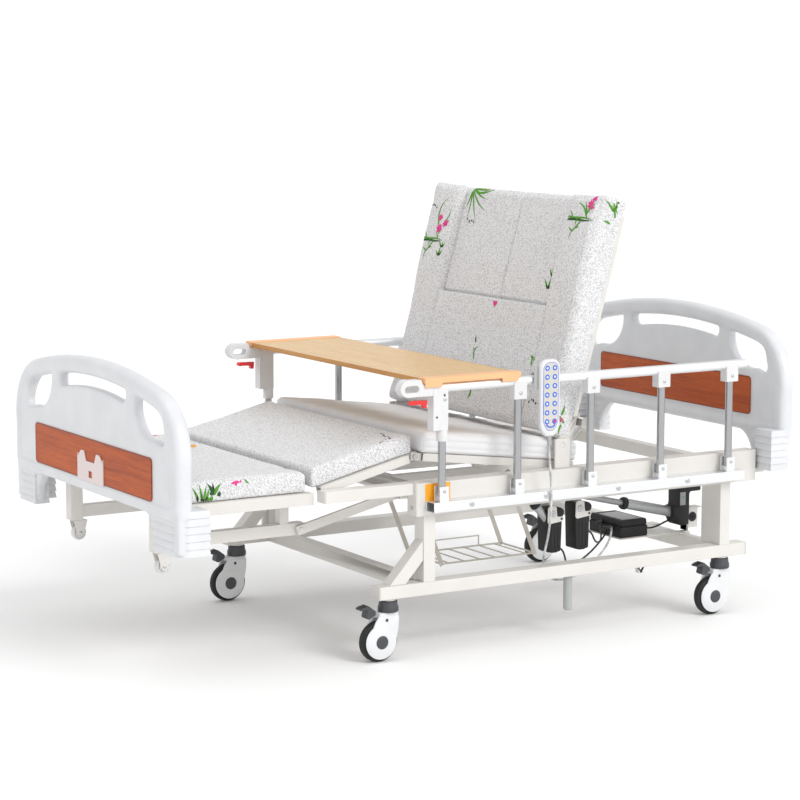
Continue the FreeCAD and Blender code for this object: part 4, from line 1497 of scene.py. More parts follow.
@dataclass
class LegCushions:
    """The printed calf and foot cushions, mitred where they meet.

    Attributes:
        knee: The knee line.
        slope: How far the calf section falls, in degrees.
    """

    knee: tuple[float, float, float] = (-0.249968, 0.0, 0.601965)
    slope: float = 13.19

    def build(self) -> list[bpy.types.Object]:
        """Make both cushions and their prints.

        Returns:
            The cushions.
        """
        calf_foam = Cushion(
            "calf_pad", "calf_section", Finishes.PRINTED, self.knee, -self.slope,
            [(2, 13.3), (-368, 13.3), (-357.5, 68.3), (12, 68.3)], 455, 0.010, 0.002, 0.006, 0.006)
        calf = calf_foam.swollen()
        calf_foam.fitted(calf, 0.004)
        self.edged(calf, 0.006, -0.362, 0.0560)
        calf_foam.finished(calf)
        foot_foam = Cushion(
            "foot_pad", "foot_section", Finishes.PRINTED, (0, 0, 0), 0,
            [(-1032, 524.8), (-614.5, 524.8), (-614.5, 582.8), (-1032, 582.8)], 455, 0.010, 0.002, 0.006,
            0.006)
        foot = foot_foam.swollen()
        foot_foam.fitted(foot, 0.005)
        self.edged(foot, -0.618, -1.028, 0.5700)
        foot_foam.finished(foot)
        calf_top = Printer("calf_print", Surface(calf, calf_foam.extra @ FLAT), "calf_section", 5)
        calf_top.dabs(-44, -345, (-2, -12), 11, 9)
        calf_top.dabs(-70, -420, (-12, -4), 3, 7)
        foot_top = Printer("foot_print", Surface(foot, foot_foam.extra @ FLAT), "foot_section", 6)
        foot_side = Printer("foot_side_print", Surface(foot, foot_foam.extra @ NEAR_FACE), "foot_section", 7)
        self.print_foot_top(foot_top)
        self.print_foot_side(foot_side)
        on_calf, on_foot = calf_top.finish(), foot_top.finish() + foot_side.finish()
        LOG.info("leg cushions: %d printed pieces", len(on_calf + on_foot))
        folding([calf, *on_calf])
        folding([foot, *on_foot])
        return [calf, foot]

    def edged(self, piece: bpy.types.Object, start: float, end: float, top: float) -> None:
        """Press a piped seam along the cushion's long upper edges.

        Args:
            piece: The cushion in its own frame.
            start: Where the seam starts along X.
            end: Where it ends.
            top: The seam's height.
        """
        lines = [[(start, side, top), (end, side, top)] for side in (-0.452, 0.452)]
        grooved(piece, lines, 0.0025, 0.005, (0, 0, -1))

    def print_foot_top(self, brush: Printer) -> None:
        """Leaves, a flower and a small diamond on top of the foot cushion.

        Args:
            brush: What prints them.
        """
        brush.patch(
            Finishes.AMBER_INK, [(-693, 182), (-702, 160), (-711, 138), (-702, 134), (-693, 132), (-684, 154),
                (-675, 176), (-684, 180)])
        for turn, long, bend in ((10, 120, 12), (-8, 130, -14), (22, 90, 20), (-20, 80, -20), (2, 150, 4)):
            brush.leaf(-900, 60, turn, long, 3.6, bend)
        for turn, long, bend in ((-15, 60, 40), (-40, 50, 30), (20, 55, -40), (60, 40, -20), (170, 40, 20)):
            brush.leaf(-800, 400, turn, long, 6, bend)
        brush.flower(-700, 420, 14)
        brush.dabs(-730, 250, (16, -10), 6, 6)

    def print_foot_side(self, brush: Printer) -> None:
        """The clump of blades at the foot end of the near side, with a pink flower.

        Args:
            brush: What prints them.
        """
        for x, turn, long, bend in (
                (-975, 96, 50, 30), (-962, 92, 52, 14), (-956, 84, 46, -8), (-948, 80, 40, -10)):
            brush.leaf(x, 530, turn, long, 5, bend)
            brush.leaf(x, 530, turn, long * 0.45, 4.5, 0, Finishes.SOOT)
        brush.leaf(-923, 546, 110, 42, 7, 20, Finishes.STEM)
        brush.leaf(-923, 546, 72, 40, 7, -30)
        brush.leaf(-925, 548, 92, 34, 5, 0, Finishes.SOOT)
        for x, z in ((-960, 530), (-946, 528), (-935, 530), (-910, 541), (-934, 546)):
            brush.leaf(x, z, 40, 16, 8, 60, Finishes.LEAF if z < 540 else Finishes.STEM)
        brush.leaf(-852, 566, 95, 16, 5, -10, Finishes.PETAL)
        brush.leaf(-853, 576, 200, 16, 5, -20, Finishes.PETAL)
        brush.leaf(-850, 577, -15, 12, 5, 10, Finishes.PETAL)
        brush.leaf(-836, 574, 90, 7, 4, 0, Finishes.PETAL)
        brush.leaf(-822, 580, -40, 18, 4, -10)


def inset(outline: Sequence[tuple[float, float]], distance: float) -> list[tuple[float, float]]:
    """Move a closed outline's points inwards.

    Args:
        outline: The outline's points.
        distance: How far.

    Returns:
        The moved points.
    """
    area = sum(a[0] * b[1] - b[0] * a[1] for a, b in zip(outline, list(outline[1:]) + [outline[0]]))
    sign = 1 if area > 0 else -1
    result = []
    count = len(outline)
    for index, point in enumerate(outline):
        before, after = Vector(outline[index - 1]), Vector(outline[(index + 1) % count])
        here = Vector(point)
        one, two = (here - before).normalized(), (after - here).normalized()
        normal = Vector((-(one.y + two.y), one.x + two.x)).normalized() * sign
        spread = max(0.5, normal.dot(Vector((-one.y, one.x)) * sign))
        result.append(tuple(here + normal * distance / spread))
    return result


def ribbed_post(
        name: str, outline: Sequence[tuple[float, float]], low: float, high: float, ribs: int,
        depth: float) -> bpy.types.Object:
    """An upright moulding whose sides overlap like clapboards.

    Args:
        name: The piece's name.
        outline: Its plan in X and Y, in metres.
        low: Its lowest Z.
        high: Its highest Z.
        ribs: How many boards its sides show.
        depth: How far each board's foot stands out.

    Returns:
        The piece.
    """
    levels = [(low, 2.4 * depth), (low + 0.003, depth * 1.1)]
    pitch = (high - low) / ribs
    for rib in range(ribs):
        base = low + pitch * rib
        levels += [(base + 0.0018, 0.0), (base + pitch - 0.0022, depth), (base + pitch - 0.0004, depth * 1.3)]
    levels += [(high, 2.4 * depth)]
    work = bmesh.new()
    rings = [[work.verts.new((x, y, z)) for x, y in inset(outline, deep)] for z, deep in levels]
    for one, two in zip(rings, rings[1:]):
        for index in range(len(outline)):
            after = (index + 1) % len(outline)
            work.faces.new((one[index], one[after], two[after], two[index]))
    work.faces.new(rings[0])
    work.faces.new(rings[-1])
    bmesh.ops.recalc_face_normals(work, faces=work.faces)
    mesh = bpy.data.meshes.new(name)
    work.to_mesh(mesh)
    work.free()
    obj = linked(name, mesh)
    mesh.set_sharp_from_angle(angle=math.radians(32))
    return obj


@dataclass
class EndBoard:
    """One blow-moulded end board: a tubular rim round a thinner panel, ribbed corners and a wood inlay.

    Attributes:
        end: Which end it closes.
        leg: The Z of its legs' bottoms, in millimetres.
        rim_span: The rim's faces along X.
        panel_span: The thinner panel's faces along X.
        corner_span: The corner mouldings' faces along X.
        body: The body that it rides on.
        sill: How far above the legs' bottoms the thinner panel starts.
        half: Half its width.
        shoulder: How high its straight sides go.
        rim: How wide the rim is.
    """

    end: End
    leg: float
    rim_span: tuple[float, float]
    panel_span: tuple[float, float]
    corner_span: tuple[float, float]
    body: str
    sill: float
    half: float = 586.0
    shoulder: float = 250.0
    rim: float = 56.0

    def outline(self) -> list[tuple[float, float]]:
        """The board's outline in Y and Z, in metres."""
        half, base, leg = self.half, self.leg + 3, 423.0
        points = [
            (-half, base), (-half, self.leg + self.shoulder), (-546, self.leg + 397, -439, self.leg + 461),
            (0, self.leg + 507, 439, self.leg + 461), (546, self.leg + 397, half, self.leg + self.shoulder),
            (half, base), (leg, base), (leg - 9, self.leg + 51),
            (leg - 40, self.leg + 93, 327, self.leg + 109), (-327, self.leg + 109),
            (-leg + 40, self.leg + 93, -leg + 9, self.leg + 51), (-leg, base)]
        return traced(points, MM, 20)

    def holes(self, grow: float) -> list[list[tuple[float, float]]]:
        """The hand holes' outlines, with round corners.

        Args:
            grow: How much larger than the finished holes, in millimetres.

        Returns:
            The three outlines.
        """
        up, g = self.leg, grow
        centre = traced(
            [(214, up + 402 - g), (240 + g, up + 428, 214, up + 454 + g), (-214, up + 454 + g),
                (-240 - g, up + 428, -214, up + 402 - g), (0, up + 419 - g, 214, up + 402 - g)], MM, 12)
        found = [centre[:-1]]
        for sign in (-1, 1):
            found.append(
                traced([(sign * (306 - g), up + 434 + g), (sign * (298 - g), up + 428),
                        (sign * (318 - g), up + 362 - g, sign * 428, up + 318 - g),
                        (sign * 464, up + 308 - g), (sign * (486 + g), up + 312, sign * (488 + g), up + 346),
                        (sign * (462 + g), up + 404 + g, sign * 400, up + 424 + g)], MM, 12))
        return found

    def build(self) -> bpy.types.Object:
        """Make the board and its corner mouldings.

        Returns:
            The board.
        """
        name = f"{self.end.label}_board"
        outline = self.outline()
        base = self.leg + 110
        closed = traced(
            [(-self.half, base), (-self.half, self.leg + self.shoulder),
                (-546, self.leg + 397, -439, self.leg + 461), (0, self.leg + 507, 439, self.leg + 461),
                (546, self.leg + 397, self.half, self.leg + self.shoulder), (self.half, base)], MM, 20)
        inner = inset(closed, self.rim * MM)
        foot = (self.leg + self.sill) * MM
        inner = [(y, foot if z < base * MM + self.rim * MM + 0.004 else z) for y, z in inner]
        span = (self.rim_span[0] * MM, self.rim_span[1] * MM)
        thin = (self.panel_span[0] * MM, self.panel_span[1] * MM)
        reach = 0.023
        band = traced(
            [(-430, self.leg + 109), (-430, self.leg + 128), (430, self.leg + 128), (430, self.leg + 109)])
        ring = slab(name + "_ring", [closed, inner], span, FACING_X, reach)
        sheet = slab(name + "_sheet", [inset(outline, 0.004)] + self.holes(0.0), thin, FACING_X, 0.008)
        fillers = []
        for sign in (-1, 1):
            post = traced(
                [(sign * 250, self.leg + 380), (sign * 250, self.leg + 470), (sign * 284, self.leg + 462),
                    (sign * 284, self.leg + 330), (sign * 262, self.leg + 330)])
            deep = (span[0] + 0.007, span[1] - 0.007)
            fillers.append(slab(name + "_post", [post], deep, FACING_X, 0.012))
        fillers.append(slab(name + "_band", [band], (thin[0] - 0.001, thin[1] + 0.001), FACING_X, 0.006))
        piece = joined(name + "_shown", [ring, sheet] + fillers)
        remesh = piece.modifiers.new("remesh", "REMESH")
        remesh.mode = "VOXEL"
        remesh.voxel_size = 0.0045
        ease = piece.modifiers.new("ease", "SMOOTH")
        ease.factor = 0.5
        ease.iterations = 9
        applied(piece)
        piece.data.shade_smooth()
        place(piece, Finishes.BOARD, self.body, name)
        for sign in (-1, 1):
            place(self.corner(name, sign), Finishes.BOARD, self.body, name)
        LOG.info("%s: %d faces", name, len(piece.data.polygons))
        return piece

    def corner(self, name: str, sign: int) -> bpy.types.Object:
        """The ribbed moulding that wraps one lower corner.

        Args:
            name: The board's name.
            sign: The side it is on.

        Returns:
            The moulding.
        """
        out, back = self.corner_span
        toward = math.copysign(1, back - out)
        plan = [
            (out, sign * 425), (out, sign * 532), (out + toward * 15, sign * 574, out + toward * 56,
                sign * 588.5), (back, sign * 588.5), (back, sign * 502), (out + toward * 50, sign * 502),
            (out + toward * 50, sign * 425)]
        label = "far" if sign > 0 else "near"
        return ribbed_post(
            f"{name}_{label}_corner", traced(plan, MM, 10), (self.leg + 1) * MM, (self.leg + 133) * MM, 6,
            0.0030)

    def wood(self, node: str, low: float, face: float, thick: float) -> None:
        """Give the inlay its laminate and a thin dark edge band.

        Args:
            node: The inlay's CAD node.
            low: Its lowest Z, in millimetres.
            face: The X of its shown face.
            thick: How far the band stands off that face.
        """
        carried(node, Finishes.WOOD)
        high = low + 126
        corner = 14
        half = 419.4
        edge = traced(
            [(half - corner, low), (half - 4, low + 4, half, low + corner), (half, high - corner),
                (half - 4, high - 4, half - corner, high), (-half + corner, high),
                (-half + 4, high - 4, -half, high - corner), (-half, low + corner),
                (-half + 4, low + 4, -half + corner, low)], MM, 6)
        span = tuple(sorted((face * MM, (face + thick) * MM)))
        band = slab(node + "_edge_band", [edge, inset(edge, 0.0028)], span, FACING_X, 0.0002, False)
        place(band, Finishes.WOOD_EDGE, self.body)


@dataclass
class SideRail:
    """One folding side rail: tubes, sockets, latch housing and lever.

    Attributes:
        side: Which side it closes.
        first: The first post's X, in millimetres.
        pitch: From one post to the next.
        count: How many posts.
    """

    side: Side
    first: float = -217.0
    pitch: float = 271.0
    count: int = 5

    def build(self) -> None:
        """Dress the rail's parts and add its rivets and collars."""
        label, sign = self.side.label, self.side.value
        for number in range(self.count):
            post = f"{label}_rail_post_{number + 1}"
            carried(post, Finishes.BRIGHT)
            x = (self.first + self.pitch * number) * MM
            body = bpy.data.objects[post]["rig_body"]
            foot = lathe(
                post + "_foot_plug", [(0, -0.001), (0.0118, -0.001), (0.0126, 0.001), (0.0126, 0.010),
                    (0.0121, 0.012), (0, 0.012)], (x, sign * RAIL_LINE, 0.4945), (0, 0, 1), 32)
            place(foot, Finishes.GREY, body)
            for tall, ride in ((0.510, "root"), (0.787, f"{label}_top")):
                rivet = lathe(
                    f"{post}_rivet_{'low' if tall < 0.6 else 'high'}",
                    [(0, 0.0024), (0.003, 0.0022), (0.0052, 0.0012), (0.0058, 0), (0, 0)],
                    (x, sign * 0.5646, tall), (0, sign, 0), 24)
                place(rivet, Finishes.ZINC, ride)
        carried(f"{label}_rail_top", Finishes.TUBE)
        refined(f"{label}_rail_fittings", Finishes.FITTING, 0.0055)
        refined(f"{label}_rail_release", Finishes.RED, 0.0035)
        self.latch_details(label, sign)

    def latch_details(self, label: str, sign: int) -> None:
        """The latch housing's rounded collar and its screws.

        Args:
            label: The rail's side, as its nodes use it.
            sign: The side's sign along Y.
        """
        x = self.first * MM
        y = sign * RAIL_LINE
        shell = lathe(
            f"{label}_latch_collar", [(0.0124, 0), (0.0168, 0), (0.0172, 0.002), (0.0172, 0.03),
                (0.0165, 0.034), (0.0124, 0.034)], (x, y, 0.661), (0, 0, 1), 40)
        place(shell, Finishes.FITTING, f"{label}_post_1")
        for dx, dz in ((-0.001, 0.800), (-0.028, 0.735)):
            screw = lathe(
                f"{label}_latch_screw_{int(dz * 1000)}", [(0, 0.0012), (0.0032, 0.0010), (0.0036, 0), (0, 0)],
                (x + dx, y + sign * 0.0169, dz), (0, sign, 0), 20)
            place(screw, Finishes.CAP, f"{label}_top")


@dataclass
class Caster:
    """One swivel caster with covered wheel, brake pedal and cap.

    Attributes:
        side: Its side.
        end: Its end.
        wheel_x: The wheel's X, in metres.
        trail: From the wheel to the stem.
    """

    side: Side
    end: End
    wheel_x: float
    trail: float = 0.035
    across: float = 0.492
    radius: float = 0.0625

    def build(self) -> None:
        """Make the caster's covers, tyre, cap and pedal."""
        name = f"{self.side.label}_{self.end.label}"
        y = self.side.value * self.across
        axle = (self.wheel_x, y, self.radius)
        fork, wheel, pedal = f"{name}_fork", f"{name}_wheel", f"{name}_pedal"
        tread = [
            (0.0064, -0.0138), (0.046, -0.0138), (0.0475, -0.0132), (0.053, -0.0138), (0.0585, -0.0122),
            (0.0612, -0.0085), (0.0622, -0.0040), (0.0617, -0.0032), (0.0617, 0.0032), (0.0622, 0.0040),
            (0.0612, 0.0085), (0.0585, 0.0122), (0.053, 0.0138), (0.0475, 0.0132), (0.046, 0.0138),
            (0.0064, 0.0138), (0.0064, -0.0138)]
        place(lathe(f"{name}_tyre", tread, axle, (0, 1, 0), 96), Finishes.TYRE, wheel, f"{name}_caster_wheel")
        for turn in (-1, 1):
            tag = "out" if turn > 0 else "in"
            place(self.cover(f"{name}_cover_{tag}", axle, turn), Finishes.SHELL, fork, f"{name}_caster_fork")
            cap = lathe(
                f"{name}_hub_cap_{tag}", [(0, 0.0072), (0.013, 0.0070), (0.0190, 0.0062), (0.0205, 0.0046),
                    (0.0205, 0.002), (0, 0.002)], (axle[0], axle[1] + turn * 0.0215, axle[2]), (0, turn, 0),
                40)
            place(cap, Finishes.CAP, fork)
            rivet = lathe(
                f"{name}_rivet_{tag}", [(0, 0.0020), (0.0035, 0.0018), (0.0048, 0.0008), (0.005, 0), (0, 0)],
                (axle[0] + 0.018, axle[1] + turn * 0.0224, 0.128), (0, turn, 0), 24)
            place(rivet, Finishes.CAP, fork)
        place(self.crown(f"{name}_crown"), Finishes.SHELL, fork, f"{name}_caster_fork")
        stem = (self.wheel_x + self.trail, y, 0.1505)
        cap = lathe(
            f"{name}_swivel_cap", [(0.0088, 0), (0.030, 0), (0.0315, 0.0025), (0.0315, 0.014), (0.029, 0.019),
                (0.0275, 0.0325), (0.0088, 0.0325)], stem, (0, 0, 1), 48)
        place(cap, Finishes.CAP, fork, f"{name}_caster_fork")
        refined(f"{name}_brake_pedal", Finishes.CAP, 0.0025)
        for number in range(4):
            bar = rounded_box(
                f"{name}_pedal_rib_{number}", (-0.0012, -0.014, 0), (0.0012, 0.014, 0.0022), 0.0007, 2)
            slope = math.radians(12)
            bar.data.transform(
                Matrix.Translation((self.wheel_x - 0.045 - number * 0.0055, y,
                        0.1752 - number * 0.0055 * math.tan(slope))) @ Matrix.Rotation(-slope, 4, "Y"))
            place(bar, Finishes.CAP, pedal)

    def cover(self, name: str, axle: Point, turn: int) -> bpy.types.Object:
        """A domed side cover that hides all but the wheel's tread.

        Args:
            name: The piece's name.
            axle: The axle's middle.
            turn: Which way the cover faces.

        Returns:
            The cover.
        """
        outline = [
            (math.cos(math.radians(a)) * 0.0525, math.sin(math.radians(a)) * 0.0525)
            for a in range(122, 371, 6)]
        outline += [(0.0575, 0.030), (0.0600, 0.050), (0.0610, 0.0780), (-0.0080, 0.0780), (-0.0190, 0.064)]
        plan = [(axle[0] + x, axle[2] + z) for x, z in outline]
        low, high = 0.0168, 0.0222
        span = (-(axle[1] + turn * high), -(axle[1] + turn * low))
        cover = slab(name, [plan], tuple(sorted(span)), FACING_Y, 0.0022)
        dome = lathe(
            name + "_dome", [(0, 0.0045), (0.026, 0.0040), (0.040, 0.0026), (0.0465, 0.0008),
                (0.0475, -0.001), (0, -0.001)], (axle[0], axle[1] + turn * 0.0218, axle[2]), (0, turn, 0), 72)
        return joined(name, [dyed(cover, Finishes.SHELL), dyed(dome, Finishes.SHELL)])

    def crown(self, name: str) -> bpy.types.Object:
        """The housing that joins the covers over the wheel."""
        x, y = self.wheel_x, self.side.value * self.across
        return rounded_box(name, (x - 0.006, y - 0.0205, 0.131), (x + 0.0600, y + 0.0205, 0.1505), 0.005, 4)


@dataclass
class Handset:
    """The hand control: rounded body, keypad film, keys, hook and cord gland.

    Attributes:
        middle: The body's X.
        face: The Y of its front.
        back: The Y of its back.
        low: The Z where the cord leaves it.
        high: The Z of its top.
    """

    middle: float = 0.1485
    face: float = -0.588
    back: float = -0.5668
    low: float = 0.650
    high: float = 0.8868
    rows: int = 7

    def outline(self, inward: float, bottom: float) -> list[tuple[float, float]]:
        """An outline like the body's.

        Args:
            inward: How far inside the body's own edge.
            bottom: Its lowest Z.

        Returns:
            The outline's points in X and Z.
        """
        half, high, m = 0.0362 - inward, self.high - inward, self.middle
        return traced(
            [(m - half, bottom + 0.05), (m - half, high - 0.022 + inward / 2),
                (m - half * 0.72, high - 0.006, m - half * 0.35, high), (m + half * 0.35, high),
                (m + half * 0.72, high - 0.006, m + half, high - 0.022 + inward / 2),
                (m + half, bottom + 0.05), (m + half * 0.80, bottom + 0.016, m + half * 0.36, bottom),
                (m - half * 0.36, bottom), (m - half * 0.80, bottom + 0.016, m - half, bottom + 0.05)], 1, 12)

    def build(self) -> list[bpy.types.Object]:
        """Make the handset.

        Returns:
            Its cord gland, which goes with the cord.
        """
        m = self.middle
        body = slab(
            "handset_body", [self.outline(0, self.low)], (-self.back, -self.face - 0.0012), FACING_Y, 0.0075)
        place(body, Finishes.FITTING, "hand_control", "handset")
        film = self.outline(0.0085, self.low + 0.019)
        plate = slab("handset_keypad", [film], (-self.face - 0.0016, -self.face - 0.0004), FACING_Y, 0.0004)
        place(plate, Finishes.KEYFILM, "hand_control")
        line = slab(
            "handset_keypad_line", [film, inset(film, 0.0013)], (-self.face - 0.001, -self.face - 0.0002),
            FACING_Y, 0.0002)
        place(line, Finishes.KEYPAD, "hand_control")
        for row in range(self.rows):
            for column, x in enumerate((m - 0.0137, m + 0.0137)):
                self.key(row, column, x, 0.8605 - row * 0.0273)
        arc = [
            (m + math.cos(math.radians(a)) * 0.0185, 0.6905 + math.sin(math.radians(a)) * 0.013)
            for a in range(200, 341, 10)]
        arc += [
            (m + math.cos(math.radians(a)) * 0.0150, 0.6935 + math.sin(math.radians(a)) * 0.012)
            for a in range(340, 199, -10)]
        swoosh = slab("handset_arc", [arc], (-self.face - 0.001, -self.face + 0.0002), FACING_Y, 0.0003)
        place(swoosh, Finishes.KEYPAD, "hand_control")
        self.hook()
        gland = lathe(
            "handset_gland", [(0.0037, 0), (0.0046, 0), (0.0050, 0.002), (0.0075, 0.024), (0.0085, 0.030),
                (0.0037, 0.030)], (0.150, -0.577, 0.622), (0, 0, 1), 32)
        place(gland, Finishes.GREY, "hand_control")
        return [gland]

    def key(self, row: int, column: int, x: float, z: float) -> None:
        """One key: a blue ring round a pale disc, red on the last one.

        Args:
            row: Its row, from the top.
            column: 0 at the foot side, 1 at the head side.
            x: Its X.
            z: Its Z.
        """
        name = f"handset_key_{row}_{column}"
        last = row == self.rows - 1 and column == 1
        ring = lathe(
            name + "_ring", [(0.0042, 0), (0.0042, 0.0008), (0.0050, 0.0013), (0.0074, 0.0013),
                (0.0082, 0.0006), (0.0082, 0)], (x, self.face + 0.0006, z), (0, -1, 0), 32)
        place(ring, Finishes.KEYPAD, "hand_control")
        disc = lathe(
            name + "_disc", [(0, 0.0010), (0.0038, 0.0009), (0.0043, 0.0005), (0.0043, 0), (0, 0)],
            (x, self.face + 0.0006, z), (0, -1, 0), 24)
        place(disc, Finishes.RED if last else Finishes.KEY, "hand_control")

    def hook(self) -> None:
        """The grey clip behind the handset that goes over the rail tube."""
        m = self.middle
        path = traced(
            [(-0.5672, 0.800), (-0.5672, 0.826), (-0.5640, 0.8395, -0.5480, 0.8414),
                (-0.5335, 0.8395, -0.5280, 0.822), (-0.5280, 0.815), (-0.5255, 0.815), (-0.5255, 0.824),
                (-0.5310, 0.8420, -0.5480, 0.8435), (-0.5660, 0.8435, -0.5690, 0.828), (-0.5690, 0.800)], 1,
            10)
        span = (m - 0.032, m + 0.020)
        place(slab("handset_hook", [path], span, FACING_X, 0.0008), Finishes.GREY, "hand_control")
        tab = rounded_box(
            "handset_hook_tab", (m - 0.050, -0.5705, 0.795), (m - 0.030, -0.5655, 0.868), 0.002, 3)
        place(tab, Finishes.GREY, "hand_control")


def tube_mesh(name: str, route: Sequence[Point], radius: float) -> tuple[bpy.types.Object, list[Vector]]:
    """A smooth round sheath along a route.

    Args:
        name: The piece's name.
        route: Its control points, in metres.
        radius: Its radius.

    Returns:
        The sheath's mesh and the points of its centreline.
    """
    curve = bpy.data.curves.new(name, "CURVE")
    curve.dimensions = "3D"
    curve.resolution_u = 10
    spline = curve.splines.new("NURBS")
    spline.points.add(len(route) - 1)
    for point, spot in zip(spline.points, route):
        point.co = (*spot, 1)
    spline.order_u = 3
    spline.use_endpoint_u = True
    holder = bpy.data.objects.new(name + "_curve", curve)
    bpy.context.scene.collection.objects.link(holder)
    graph = bpy.context.evaluated_depsgraph_get()
    bare = bpy.data.meshes.new_from_object(holder.evaluated_get(graph))
    line = [vertex.co.copy() for vertex in bare.vertices]
    curve.bevel_depth = radius
    curve.bevel_resolution = 5
    curve.use_fill_caps = True
    bpy.context.view_layer.update()
    graph = bpy.context.evaluated_depsgraph_get()
    mesh = bpy.data.meshes.new_from_object(holder.evaluated_get(graph))
    bpy.data.objects.remove(holder)
    bpy.data.meshes.remove(bare)
    mesh.name = name
    return linked(name, mesh), line


def run_length(line: Sequence[Vector]) -> float:
    """The length of a run of points."""
    return sum((b - a).length for a, b in zip(line, line[1:]))


@dataclass
class Cords:
    """The handset's cord and the leads between motors and control box, in metres."""

    handset: Sequence[Point] = (
        (0.150, -0.577, 0.6497), (0.150, -0.577, 0.622), (0.153, -0.577, 0.580), (0.158, -0.576, 0.530),
        (0.163, -0.574, 0.480), (0.169, -0.566, 0.430), (0.177, -0.549, 0.382), (0.187, -0.526, 0.337),
        (0.197, -0.500, 0.296), (0.207, -0.473, 0.258), (0.219, -0.449, 0.222), (0.238, -0.431, 0.190),
        (0.268, -0.418, 0.167), (0.306, -0.408, 0.155), (0.348, -0.398, 0.152), (0.392, -0.386, 0.158),
        (0.436, -0.372, 0.170), (0.480, -0.356, 0.186), (0.522, -0.338, 0.205), (0.560, -0.318, 0.226),
        (0.590, -0.296, 0.247), (0.612, -0.272, 0.262), (0.630, -0.246, 0.268))
    knee: Sequence[Point] = (
        (0.306, -0.402, 0.262), (0.326, -0.402, 0.252), (0.340, -0.396, 0.226), (0.356, -0.380, 0.200),
        (0.392, -0.362, 0.188), (0.440, -0.346, 0.196), (0.490, -0.328, 0.214), (0.540, -0.300, 0.232),
        (0.590, -0.268, 0.250), (0.630, -0.222, 0.262))
    back: Sequence[Point] = (
        (0.738, -0.214, 0.268), (0.758, -0.214, 0.264), (0.778, -0.218, 0.250), (0.800, -0.228, 0.244),
        (0.826, -0.242, 0.254), (0.846, -0.262, 0.272), (0.868, -0.276, 0.280))
    leg: Sequence[Point] = (
        (0.412, -0.402, 0.300), (0.430, -0.400, 0.300), (0.448, -0.392, 0.288), (0.470, -0.374, 0.262),
        (0.500, -0.350, 0.246), (0.536, -0.318, 0.244), (0.570, -0.272, 0.256), (0.600, -0.226, 0.270),
        (0.630, -0.190, 0.276))
    cord_radius: float = 0.0035
    lead_radius: float = 0.0030

    def build(self, glands: Sequence[bpy.types.Object]) -> None:
        """Lay the cord and the leads.

        Args:
            glands: The pieces that go with the handset's cord; not used.
        """
        cord, line = tube_mesh("handset_cord_shown", self.handset, self.cord_radius)
        cord.data.materials.append(Finishes.CORD.material())
        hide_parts("handset_cord")
        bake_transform(cord)
        LOG.info("handset cord: %.3f m", run_length(line))
        for name in ("knee", "back", "leg"):
            route = getattr(self, name)
            lead, line = tube_mesh(f"{name}_lead", route, self.lead_radius)
            place(lead, Finishes.CABLE, "root", "actuator_leads")
            LOG.info("%s lead: %.3f m", name, run_length(line))


